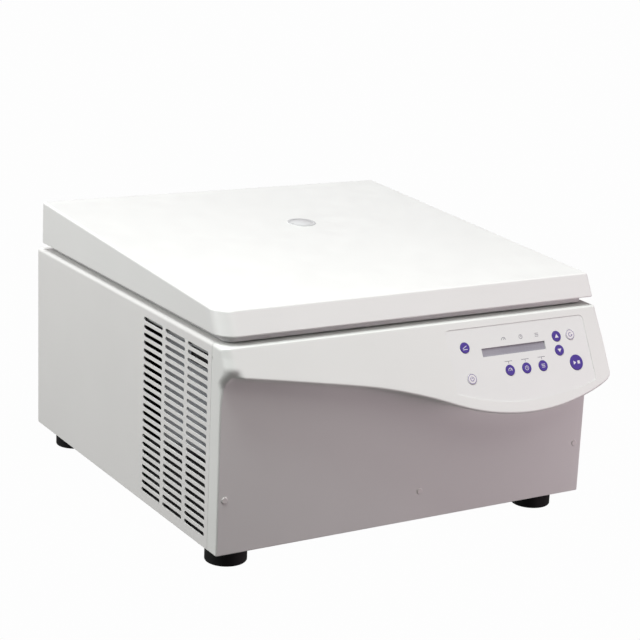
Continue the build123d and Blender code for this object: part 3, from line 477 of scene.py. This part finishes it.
def cover_mesh(off, name):
    """The moulding's outside as a closed mesh, off mm inside itself; with off it is the core that hollows it."""
    hw, y_low, z0, drop = HW - off, Y_LOW + off, Z_SKIRT - (1.0 if off else 0.0), off
    y_back = Y_SEAM + (1.5 if off else 0.0)
    r_root, r_lip = (10.0, 2.5) if not off else (6.0, 0.8)
    r_foot = 1.5 if not off else 0.3

    def reach(z):
        return y_low - (NOSE_Y - NOSE_K * (Z_DECK - z) + off * SLOPE_N)

    # stations round the plan: (side, angle or fraction, x)
    st = [("LS", i / 4.0, 0.0) for i in range(4)]
    st += [("LA", math.radians(a), 0.0) for a in range(0, 91, 5)]
    st += [("F", 0.0, u) for u in (0.25, 0.5, 0.75)]
    xs = [-246.0 + i * 4.0 for i in range(126)] + [256.5, 258.5, 260.0, 261.2, 262.2, 263.0]
    st += [("X", 0.0, min(x, hw - 5.4)) for x in xs if x < hw - 5.3]
    st += [("RA", math.radians(a), 0.0) for a in range(90, -1, -9)]
    st += [("RS", 1.0 - i / 3.0, 0.0) for i in range(1, 4)]
    rows = []
    for kind, t, u in st:
        left = kind in ("LS", "LA")
        th = {"LS": 0.0, "LA": t, "RA": t, "RS": 0.0}.get(kind, math.pi / 2)
        if left:
            x_ref = -hw + 14.0 * (1 - math.cos(th))
        elif kind == "F":
            x_ref = (-hw + 14.0) + (-246.0 + hw - 14.0) * u
        elif kind == "X":
            x_ref = u
        else:
            x_ref = hw - 2.2 * (1 - math.cos(th))
        lip = lip_at(min(x_ref, HW - 0.01)) + off * 1.15
        sharp = smooth(x_ref, -252.0, -238.0) if off else smooth(x_ref, -260.0, -248.0)
        if kind in ("RA", "RS"):
            sharp = 1.0
        k = NOSE_K * math.sin(th)
        z_top = Z_DECK - drop - TOP_FALL * (24.0 if not left and kind != "RS" and kind != "RA" else 14.0 + 10.0 * math.sin(th))
        if kind in ("LS", "RS"):
            z_top = Z_DECK - drop - TOP_FALL * 14.0 * t
        r_top = (5.0 - 2.5 * math.sin(th)) if left else (3.0 - 0.5 * math.sin(th))
        if off:
            r_top = 1.0
        depth = reach(lip)
        rr = min(r_root, 0.4 * depth)
        tl = r_lip / math.tan(math.acos(NOSE_K / SLOPE_N) / 2)
        prof = []                                   # (forward, height, inset)
        for i in range(5):
            a = math.pi / 2 * i / 4
            prof.append((0.0, z0 + r_foot * (1 - math.cos(a)), r_foot * (1 - math.sin(a))))
        z1 = lip - rr
        zs = z0 + r_foot
        for f in (0.2, 0.4, 0.6, 0.72, 0.8, 0.84, 0.87, 0.90, 0.925, 0.95, 0.97, 0.985):
            prof.append((0.0, zs + (z1 - zs) * f, 0.0))
        for i in range(9):
            a = math.pi / 2 * i / 8
            prof.append((rr - rr * math.cos(a), z1 + rr * math.sin(a), 0.0))
        for f in (0.3, 0.6, 0.85):
            prof.append((rr + (depth - tl - rr) * f, lip, 0.0))
        n_turn = 9
        for i in range(n_turn):
            a = math.radians(-90.0 + (90.0 + math.degrees(math.atan(NOSE_K))) * i / (n_turn - 1))
            prof.append((depth - tl + r_lip * math.cos(a), lip + r_lip + r_lip * math.sin(a), 0.0))
        z2 = prof[-1][1]
        alpha = math.atan(k)
        t2 = r_top * math.tan((math.pi / 2 - alpha) / 2)
        z3 = z_top - r_top + r_top * math.sin(alpha)
        steps = 16
        for i in range(1, steps):
            z = z2 + (z3 - z2) * i / steps
            prof.append((reach(z), z, 0.0))
        top0 = len(prof)
        for i in range(7):
            a = alpha + (math.pi / 2 - alpha) * i / 6
            z = z_top - r_top + r_top * math.sin(a)
            prof.append((reach(z), z, max(0.0, k * (z_top - z) + t2 - r_top * math.cos(a))))
        # the left corner has no sharp lip: the same heights, pushed forward gently
        if sharp < 1.0:
            i0, i1 = 5, top0
            g0, g1 = (254.0, 281.0) if off else (236.0, 262.5)
            for i in range(i0, i1):
                fwd_s, z_s, n_s = prof[i]
                z_e = zs + (z3 - zs) * ((i - i0 + 1) / float(i1 - i0)) ** 0.62
                z_e = z_s if not (z1 - 0.01 <= z_s <= z2 + 0.01) else z1 + (z2 - z1) * (i - 17) / 21.0
                fwd_e = reach(z_e) * smooth(z_e, g0, g1)
                prof[i] = (fwd_e + (fwd_s - fwd_e) * sharp, z_e + (z_s - z_e) * sharp, 0.0)
            for i in range(top0, len(prof)):
                fwd_s, z_s, n_s = prof[i]
                fwd_e = reach(z_s) * smooth(z_s, g0, g1)
                prof[i] = (fwd_e + (fwd_s - fwd_e) * sharp, z_s, n_s)
        col = []
        for fwd_i, z, n_in in prof:
            rl = max(0.8, table(LEFT_RADIUS, z) - off)
            rr_ = max(0.8, table(RIGHT_RADIUS, z) - off)
            if kind == "LS":
                ya = y_low + rl - fwd_i
                x, y = -hw + n_in, y_back + (ya - y_back) * t
            elif kind == "LA":
                x = -hw + rl - (rl - n_in) * math.cos(th)
                y = y_low - fwd_i + rl - (rl - n_in) * math.sin(th)
            elif kind == "F":
                xa = -hw + rl
                x, y = xa + (-246.0 - xa) * u, y_low - fwd_i + n_in
            elif kind == "X":
                x, y = u, y_low - fwd_i + n_in
            elif kind == "RA":
                x = hw - rr_ + (rr_ - n_in) * math.cos(th)
                y = y_low - fwd_i + rr_ - (rr_ - n_in) * math.sin(th)
            else:
                ya = y_low + rr_ - fwd_i
                x, y = hw - n_in, y_back + (ya - y_back) * t
            col.append([x, y, z])
        col[-1][2] = Z_DECK - drop - TOP_FALL * (Y_SEAM - col[-1][1]) if col[-1][1] < Y_SEAM else Z_DECK - drop
        rows.append(col)
    bm = bmesh.new()
    grid = [[bm.verts.new((x * MM, y * MM, z * MM)) for x, y, z in col] for col in rows]
    for a, b in zip(grid, grid[1:]):
        for i in range(len(a) - 1):
            bm.faces.new((a[i], b[i], b[i + 1], a[i + 1]))
    bm.faces.new([c[0] for c in reversed(grid)])
    bm.faces.new([c[-1] for c in grid])
    bm.faces.new(list(grid[0]) + list(reversed(grid[-1])))
    bmesh.ops.recalc_face_normals(bm, faces=bm.faces[:])
    me = bpy.data.meshes.new(name)
    bm.to_mesh(me)
    bm.free()
    o = bpy.data.objects.new(name, me)
    scene.collection.objects.link(o)
    return o


def on_slope(x, s, w):
    """Row-frame point on the control face: across, down the slope and off the face, in mm."""
    return Vector((x, NOSE_Y - NOSE_K * 0.7 - NOSE_K / SLOPE_N * s - w / SLOPE_N, Z_DECK - 0.7 - s / SLOPE_N + w * NOSE_K / SLOPE_N)) * MM


def prism_on_slope(bm, outline, w0, w1):
    lo = [bm.verts.new(on_slope(x, s, w0)) for x, s in outline]
    hi = [bm.verts.new(on_slope(x, s, w1)) for x, s in outline]
    bm.faces.new(lo)
    bm.faces.new(list(reversed(hi)))
    n = len(lo)
    for i in range(n):
        bm.faces.new((lo[i], hi[i], hi[(i + 1) % n], lo[(i + 1) % n]))


def ring_points(cx, cs, r, n=56, a0=0.0, a1=2 * math.pi):
    return [(cx + r * math.cos(a0 + (a1 - a0) * i / n), cs - r * math.sin(a0 + (a1 - a0) * i / n)) for i in range(n)]


def seat_outline():
    """Outline of the recess that takes the control panel."""
    x0, x1, s0, r = 31.0, 243.3, 9.8, 6.0
    low = spline([(31.0, 88.6), (66.0, 99.2), (96.0, 105.4), (126.0, 108.2), (158.0, 107.9), (192.0, 104.8), (237.3, 96.5)], 0.351, -0.2917)
    pts = [(31.0 + 206.3 * i / 60.0, low(31.0 + 206.3 * i / 60.0)) for i in range(61)]
    # right end: three-point arc up to the side
    p, q, m = (237.3, 96.5), (243.3, 88.7), (241.62, 94.08)
    ax, ay, bx, by, cx, cy = *p, *m, *q
    dd = 2 * (ax * (by - cy) + bx * (cy - ay) + cx * (ay - by))
    ux = ((ax * ax + ay * ay) * (by - cy) + (bx * bx + by * by) * (cy - ay) + (cx * cx + cy * cy) * (ay - by)) / dd
    uy = ((ax * ax + ay * ay) * (cx - bx) + (bx * bx + by * by) * (ax - cx) + (cx * cx + cy * cy) * (bx - ax)) / dd
    r0 = math.hypot(ax - ux, ay - uy)
    a0, a1 = math.atan2(ay - uy, ax - ux), math.atan2(cy - uy, cx - ux)
    pts += [(ux + r0 * math.cos(a0 + (a1 - a0) * i / 8.0), uy + r0 * math.sin(a0 + (a1 - a0) * i / 8.0)) for i in range(1, 9)]
    for i in range(9):
        a = math.pi / 2 * i / 8
        pts.append((x1 - r + r * math.cos(a), s0 + r - r * math.sin(a)))
    for i in range(9):
        a = math.pi / 2 * (1 + i / 8.0)
        pts.append((x0 + r + r * math.cos(a), s0 + r - r * math.sin(a)))
    return pts


KEYS = {
    "key_open_lid": (55.45, 33.4, 6.7), "key_standby": (56.45, 72.4, 6.7), "key_up": (196.15, 33.4, 6.7),
    "key_down": (196.15, 51.4, 6.7), "key_short_spin": (217.75, 33.4, 6.7), "key_start_stop": (218.3, 69.6, 9.8),
    "key_speed": (115.15, 68.0, 6.7), "key_time": (140.55, 68.0, 6.7), "key_program": (166.05, 68.0, 6.7)}


def boolean_cut(target, cutter):
    mod = target.modifiers.new("cut", "BOOLEAN")
    mod.operation = "DIFFERENCE"
    mod.solver = "EXACT"
    mod.object = cutter
    bpy.context.view_layer.update()
    deps = bpy.context.evaluated_depsgraph_get()
    me = bpy.data.meshes.new_from_object(target.evaluated_get(deps))
    target.modifiers.clear()
    old = target.data
    target.data = me
    bpy.data.meshes.remove(old)
    bpy.data.objects.remove(cutter)


def as_object(bm, name):
    bmesh.ops.recalc_face_normals(bm, faces=bm.faces[:])
    me = bpy.data.meshes.new(name)
    bm.to_mesh(me)
    bm.free()
    o = bpy.data.objects.new(name, me)
    scene.collection.objects.link(o)
    return o


def finish_shading(o, angle=28.0):
    """Smooth faces, creases kept where they are real edges, and normals weighted by face area."""
    bm = bmesh.new()
    bm.from_mesh(o.data)
    bmesh.ops.remove_doubles(bm, verts=bm.verts[:], dist=2e-7)
    lim = math.radians(angle)
    for f in bm.faces:
        f.smooth = True
    for e in bm.edges:
        e.smooth = len(e.link_faces) == 2 and e.calc_face_angle(0.0) < lim
    bm.to_mesh(o.data)
    bm.free()
    mod = o.modifiers.new("weighted", "WEIGHTED_NORMAL")
    mod.keep_sharp = True
    mod.weight = 80
    bpy.context.view_layer.update()
    deps = bpy.context.evaluated_depsgraph_get()
    me = bpy.data.meshes.new_from_object(o.evaluated_get(deps), preserve_all_data_layers=True, depsgraph=deps)
    o.modifiers.clear()
    o.data = me


def build_cover():
    skin = cover_mesh(0.0, "front_cover_skin")
    boolean_cut(skin, cover_mesh(3.0, "cover_core"))
    bm = bmesh.new()
    prism_on_slope(bm, seat_outline(), -0.9, 6.0)
    boolean_cut(skin, as_object(bm, "cover_seat"))
    bm = bmesh.new()
    for kx, ks, kr in KEYS.values():
        prism_on_slope(bm, ring_points(kx, ks, kr + 0.4), -9.0, 6.0)
    prism_on_slope(bm, [(79.25, 37.0), (176.3, 37.0), (176.3, 47.6), (79.25, 47.6)], -9.0, 6.0)
    for x0, x1, y0, y1, z0, z1 in ((-270.0, -HW + 1.2, -223.2, -221.0, 264.3, 267.8),):
        v = [bm.verts.new(Vector((x, y, z)) * MM) for z in (z0, z1) for x, y in ((x0, y0), (x1, y0), (x1, y1), (x0, y1))]
        for q in ((0, 1, 2, 3), (4, 7, 6, 5), (0, 4, 5, 1), (1, 5, 6, 2), (2, 6, 7, 3), (3, 7, 4, 0)):
            bm.faces.new([v[i] for i in q])
    boolean_cut(skin, as_object(bm, "cover_holes"))
    finish_shading(skin)
    skin.data.materials.clear()
    skin.data.materials.append(MATS["cover_white"])
    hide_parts("front_cover")
    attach(skin, "chassis")
    return skin


build_cover()

# ------------------------------------------------------------------ printed marks

def disc_between(bm, outer, inner, w0, w1):
    """A flat ring on the control face between two outlines with the same number of points."""
    n = len(outer)
    rows = [[bm.verts.new(on_slope(x, s, w)) for x, s in line] for line, w in ((outer, w0), (outer, w1), (inner, w1), (inner, w0))]
    for a in range(4):
        p, q = rows[a], rows[(a + 1) % 4]
        for i in range(n):
            j = (i + 1) % n
            bm.faces.new((p[i], p[j], q[j], q[i]))


def arc_band(cx, cs, r, half, a0, a1, n=20):
    """Outline of an open band following a circle from angle a0 to a1."""
    out = [(cx + (r + half) * math.cos(a0 + (a1 - a0) * i / n), cs - (r + half) * math.sin(a0 + (a1 - a0) * i / n)) for i in range(n + 1)]
    inn = [(cx + (r - half) * math.cos(a0 + (a1 - a0) * i / n), cs - (r - half) * math.sin(a0 + (a1 - a0) * i / n)) for i in range(n + 1)]
    return out, inn


def band_on_slope(bm, out, inn, w0, w1):
    n = len(out)
    rows = [[bm.verts.new(on_slope(x, s, w)) for x, s in line] for line, w in ((out, w0), (out, w1), (inn, w1), (inn, w0))]
    for a in range(4):
        p, q = rows[a], rows[(a + 1) % 4]
        for i in range(n - 1):
            bm.faces.new((p[i], p[i + 1], q[i + 1], q[i]))
    for i in (0, n - 1):
        bm.faces.new([rows[a][i] for a in range(4)])


def bar(x0, s0, x1, s1, half):
    """Outline of a straight stroke with rounded-off ends."""
    d = math.hypot(x1 - x0, s1 - s0)
    ux, us = (x1 - x0) / d, (s1 - s0) / d
    pts = []
    for cx, cs, sign in ((x1, s1, 1.0), (x0, s0, -1.0)):
        base = math.atan2(us * sign, ux * sign)
        for i in range(7):
            a = base - math.pi / 2 + math.pi * i / 6
            pts.append((cx + half * math.cos(a), cs + half * math.sin(a)))
    return pts


def mark(name, body, slot, builder):
    bm = bmesh.new()
    builder(bm)
    o = as_object(bm, name)
    for f in o.data.polygons:
        f.use_smooth = False
    o.data.materials.append(MATS[slot])
    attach(o, body)
    return o


K0, K1 = 0.08, 0.17       # printed film on a key, off its top


def up_mark(bm):
    x, s, r = KEYS["key_up"]
    prism_on_slope(bm, [(x - 3.0, s + 1.9), (x + 3.0, s + 1.9), (x, s - 2.7)], K0, K1)


def down_mark(bm):
    x, s, r = KEYS["key_down"]
    prism_on_slope(bm, [(x - 3.0, s - 1.9), (x, s + 2.7), (x + 3.0, s - 1.9)], K0, K1)


def start_mark(bm):
    x, s, r = KEYS["key_start_stop"]
    prism_on_slope(bm, [(x - 4.9, s - 2.5), (x - 4.9, s + 2.5), (x - 0.7, s)], K0, K1)
    prism_on_slope(bm, [(x + 1.3, s - 2.0), (x + 1.3, s + 2.0), (x + 5.1, s + 2.0), (x + 5.1, s - 2.0)], K0, K1)


def power_mark(bm):
    x, s, r = KEYS["key_standby"]
    band_on_slope(bm, *arc_band(x, s, 2.5, 0.4, math.radians(130), math.radians(410)), K0, K1)
    prism_on_slope(bm, bar(x, s - 3.1, x, s - 0.4, 0.4), K0, K1)
    disc_between(bm, ring_points(x, s, 6.1), ring_points(x, s, 5.5), K0, K1)


def short_mark(bm):
    x, s, r = KEYS["key_short_spin"]
    band_on_slope(bm, *arc_band(x, s, 2.4, 0.35, math.radians(60), math.radians(340)), K0, K1)
    prism_on_slope(bm, [(x + 1.2, s + 0.1), (x + 3.7, s + 0.5), (x + 2.0, s + 2.3)], K0, K1)
    disc_between(bm, ring_points(x, s, 6.1), ring_points(x, s, 5.6), K0, K1)


def open_mark(bm):
    x, s, r = KEYS["key_open_lid"]
    prism_on_slope(bm, bar(x - 3.0, s + 2.2, x + 3.0, s + 2.2, 0.4), K0, K1)
    prism_on_slope(bm, bar(x - 3.0, s + 0.6, x + 2.4, s - 2.2, 0.4), K0, K1)


def cycle_mark(node):
    x, s, r = KEYS[node]

    def build(bm):
        if node == "key_speed":
            band_on_slope(bm, *arc_band(x, s, 2.6, 0.35, math.radians(-20), math.radians(200)), K0, K1)
            prism_on_slope(bm, bar(x, s + 0.6, x + 1.3, s - 1.2, 0.35), K0, K1)
        elif node == "key_time":
            disc_between(bm, ring_points(x, s, 2.9, 32), ring_points(x, s, 2.3, 32), K0, K1)
            prism_on_slope(bm, bar(x, s, x, s - 1.6, 0.3), K0, K1)
            prism_on_slope(bm, bar(x, s, x + 1.2, s + 0.5, 0.3), K0, K1)
        else:
            for k in range(3):
                prism_on_slope(bm, bar(x - 2.3, s - 1.9 + 1.9 * k, x + 2.3, s - 1.9 + 1.9 * k, 0.35), K0, K1)
    return build


mark("up_mark", "key_up", "print_white", up_mark)
mark("down_mark", "key_down", "print_white", down_mark)
mark("start_mark", "key_start_stop", "print_white", start_mark)
mark("power_mark", "key_standby", "print_violet", power_mark)
mark("short_spin_mark", "key_short_spin", "print_violet", short_mark)
mark("open_mark", "key_open_lid", "print_white", open_mark)
for key_name in ("key_speed", "key_time", "key_program"):
    mark(key_name + "_mark", key_name, "print_white", cycle_mark(key_name))


def panel_marks(bm):
    """Dial, clock face and list above the display; three strokes below it, each with a short tick."""
    w0, w1 = -0.52, -0.43
    x, s = 115.0, 28.2
    band_on_slope(bm, *arc_band(x, s + 1.0, 2.8, 0.3, math.radians(-10), math.radians(190)), w0, w1)
    prism_on_slope(bm, bar(x, s + 1.0, x + 1.4, s - 0.8, 0.3), w0, w1)
    x = 141.4
    disc_between(bm, ring_points(x, s, 2.8, 32), ring_points(x, s, 2.25, 32), w0, w1)
    prism_on_slope(bm, bar(x, s, x, s - 1.6, 0.28), w0, w1)
    prism_on_slope(bm, bar(x, s, x + 1.2, s + 0.5, 0.28), w0, w1)
    x = 165.9
    for k in range(3):
        prism_on_slope(bm, bar(x - 2.2, s - 1.9 + 1.9 * k, x + 2.6, s - 1.9 + 1.9 * k, 0.3), w0, w1)
    for x in (115.15, 140.55, 166.05):
        prism_on_slope(bm, bar(x - 5.5, 56.6, x + 5.5, 56.6, 0.28), w0, w1)
        prism_on_slope(bm, bar(x, 56.6, x, 59.4, 0.28), w0, w1)


mark("panel_marks", "chassis", "print_grey", panel_marks)


def filter_mat(name, cx, cz, hx, hz, y0, y1, n):
    """Pleated dust filter on the inside of a rear opening, in a thin frame."""
    bm = bmesh.new()
    deep = (y1 - y0) * 0.55
    cols = []
    for i in range(2 * n + 1):
        x = cx - hx + 2 * hx * i / (2 * n)
        ya = y0 + 0.3 if i % 2 else y0 + 0.3 + deep
        cols.append([bm.verts.new(Vector((x, y, z)) * MM) for y, z in ((ya, cz - hz), (ya, cz + hz), (ya + 1.0, cz + hz), (ya + 1.0, cz - hz))])
    for a, b in zip(cols, cols[1:]):
        for i in range(4):
            bm.faces.new((a[i], b[i], b[(i + 1) % 4], a[(i + 1) % 4]))
    bm.faces.new(cols[0])
    bm.faces.new(list(reversed(cols[-1])))
    prof = [(-2.0, y0), (1.5, y0), (1.5, y1), (-1.0, y1), (-2.0, y1 - 1.0)]
    ring = []
    for sx, sz in ((-1, -1), (1, -1), (1, 1), (-1, 1)):
        ring.append([bm.verts.new(Vector((cx + sx * (hx + r), y, cz + sz * (hz + r))) * MM) for r, y in prof])
    for a, b in zip(ring, ring[1:] + ring[:1]):
        for i in range(5):
            bm.faces.new((a[i], b[i], b[(i + 1) % 5], a[(i + 1) % 5]))
    o = as_object(bm, name)
    o.data.materials.append(MATS["black_plastic"])
    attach(o, "chassis")
    return o


filter_mat("fan_filter", -200.0, 160.0, 41.0, 41.0, 270.3, 274.9, 40)
filter_mat("vent_filter_left", -60.0, 87.0, 34.0, 30.0, 296.0, 300.6, 30)
filter_mat("vent_filter_right", 60.0, 87.0, 34.0, 30.0, 296.0, 300.6, 30)


def slot_shade_sheet(name, y0, y1, z0, z1_front, z1_rear, pitch):
    """Black ribbed sheet close behind the side slots, a painted shade that makes the slots read dark where the inside
    lies in shadow; its top edge falls towards the rear.
    """
    bm = bmesh.new()
    n_y = 12
    rows = []
    count = int((z1_front - z0) / pitch) * 4
    for i in range(count + 1):
        f = i / float(count)
        bulge = (0.0, 0.7, 0.7, 0.0)[i % 4]
        row = []
        for j in range(n_y + 1):
            g = j / float(n_y)
            y = y0 + (y1 - y0) * g
            z = z0 + (z1_front + (z1_rear - z1_front) * g - z0) * f
            row.append((-261.9 - bulge, y, z))
        rows.append(row)
    outer = [[bm.verts.new(Vector(p) * MM) for p in row] for row in rows]
    inner = [[bm.verts.new(Vector((x + 0.8, y, z)) * MM) for x, y, z in row] for row in rows]
    for a in range(count):
        for j in range(n_y):
            bm.faces.new((outer[a][j], outer[a][j + 1], outer[a + 1][j + 1], outer[a + 1][j]))
            bm.faces.new((inner[a][j], inner[a + 1][j], inner[a + 1][j + 1], inner[a][j + 1]))
        for j in (0, n_y):
            bm.faces.new((outer[a][j], outer[a + 1][j], inner[a + 1][j], inner[a][j]))
    for a in (0, count):
        for j in range(n_y):
            bm.faces.new((outer[a][j], inner[a][j], inner[a][j + 1], outer[a][j + 1]))
    o = as_object(bm, name)
    o.data.materials.append(MATS["foot_rubber"])
    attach(o, "chassis")
    return o


# black sheets behind the slots: painted shade for the dark inside seen through them
slot_shade_sheet("slot_shade_sheet_low", -212.0, -46.0, 37.0, 134.0, 112.0, 8.0)
slot_shade_sheet("slot_shade_sheet_top", -212.0, -158.0, 245.0, 263.0, 263.0, 6.0)

# ------------------------------------------------------------------ world, lamps, backdrop

world = bpy.data.worlds.new("studio_world")
scene.world = world
world.use_nodes = True
wt = world.node_tree
wt.nodes.clear()
w_out = wt.nodes.new("ShaderNodeOutputWorld")
w_bg = wt.nodes.new("ShaderNodeBackground")
wt.links.new(w_bg.outputs[0], w_out.inputs[0])
w_tc = wt.nodes.new("ShaderNodeTexCoord").outputs["Generated"]


def w_lobe(direction, lo, hi):
    """0 to 1 as the sky direction turns towards a lamp direction."""
    dot = wt.nodes.new("ShaderNodeVectorMath")
    dot.operation = "DOT_PRODUCT"
    dot.inputs[1].default_value = Vector(direction).normalized()
    wt.links.new(w_tc, dot.inputs[0])
    r = wt.nodes.new("ShaderNodeMapRange")
    r.interpolation_type = "SMOOTHSTEP"
    r.inputs["From Min"].default_value = lo
    r.inputs["From Max"].default_value = hi
    wt.links.new(dot.outputs["Value"], r.inputs["Value"])
    return r.outputs[0]


def w_mix(fac, a, b, blend="MIX"):
    n = wt.nodes.new("ShaderNodeMix")
    n.data_type = "RGBA"
    n.blend_type = blend
    wt.links.new(fac, n.inputs[0])
    for sock, v in ((n.inputs[6], a), (n.inputs[7], b)):
        if isinstance(v, tuple):
            sock.default_value = v
        else:
            wt.links.new(v, sock)
    return n.outputs[2]


GROUND = (0.295, 0.296, 0.282, 1)
SKY = (0.245, 0.195, 0.22, 1)
env = w_mix(w_lobe((0, 0, 1), -0.12, 0.16), GROUND, SKY)
env = w_mix(w_lobe((-0.5, -1, 0.03), 0.20, 0.90), env, (0.006, 0.004, 0.005, 1))
env = w_mix(w_lobe((1, -0.85, -0.05), 0.55, 0.98), env, (0.03, 0.025, 0.027, 1))
wt.links.new(env, w_bg.inputs[0])
w_bg.inputs[1].default_value = 1.0

sun = bpy.data.lights.new("key_overhead", "SUN")
sun.energy = 2.42
sun.color = (0.955, 1.0, 0.985)
sun.angle = math.radians(34)
sun_o = bpy.data.objects.new("key_overhead", sun)
scene.collection.objects.link(sun_o)
sun_o.rotation_mode = "QUATERNION"
sun_o.rotation_quaternion = Vector((0.112, 0.05, -0.976)).to_track_quat("-Z", "Y")
sun_o.location = (-0.5, -0.6, 3.0)


def softbox(name, loc, target, w, h, energy, colour=(1.0, 1.0, 1.0)):
    light = bpy.data.lights.new(name, "AREA")
    light.shape = "RECTANGLE"
    light.size, light.size_y = w, h
    light.energy = energy
    light.color = colour
    o = bpy.data.objects.new(name, light)
    scene.collection.objects.link(o)
    o.location = loc
    o.rotation_mode = "QUATERNION"
    o.rotation_quaternion = (Vector(target) - Vector(loc)).to_track_quat("-Z", "Y")


softbox("side_softbox", (-1.75, 0.40, 0.95), (0.0, 0.05, 0.2), 1.6, 1.1, 11.6)
softbox("side_high", (-1.30, 0.20, 1.50), (0.0, 0.05, 0.2), 1.6, 1.1, 8.6)
softbox("front_high", (0.0, -0.80, 0.85), (0.0, -0.245, 0.15), 0.8, 0.5, 1.7, (1.0, 0.96, 0.94))
softbox("low_fill", (0.9, -1.2, 0.1), (0.0, -0.245, 0.15), 0.8, 0.5, 5.5, (1.0, 0.80, 0.89))


def build_backdrop():
    """White dome far behind everything, seen only directly."""
    me = bpy.data.meshes.new("studio_backdrop")
    bm = bmesh.new()
    bmesh.ops.create_uvsphere(bm, u_segments=48, v_segments=24, radius=28.0)
    bmesh.ops.reverse_faces(bm, faces=bm.faces[:])
    bm.to_mesh(me)
    bm.free()
    o = bpy.data.objects.new("studio_backdrop", me)
    scene.collection.objects.link(o)
    mat = bpy.data.materials.new("studio_backdrop")
    mat.use_nodes = True
    nt = mat.node_tree
    nt.nodes.clear()
    out = nt.nodes.new("ShaderNodeOutputMaterial")
    em = nt.nodes.new("ShaderNodeEmission")
    em.inputs[0].default_value = (0.985, 0.985, 0.985, 1)
    nt.links.new(em.outputs[0], out.inputs[0])
    me.materials.append(mat)
    o.visible_diffuse = o.visible_glossy = o.visible_transmission = False
    o.visible_volume_scatter = o.visible_shadow = False


build_backdrop()
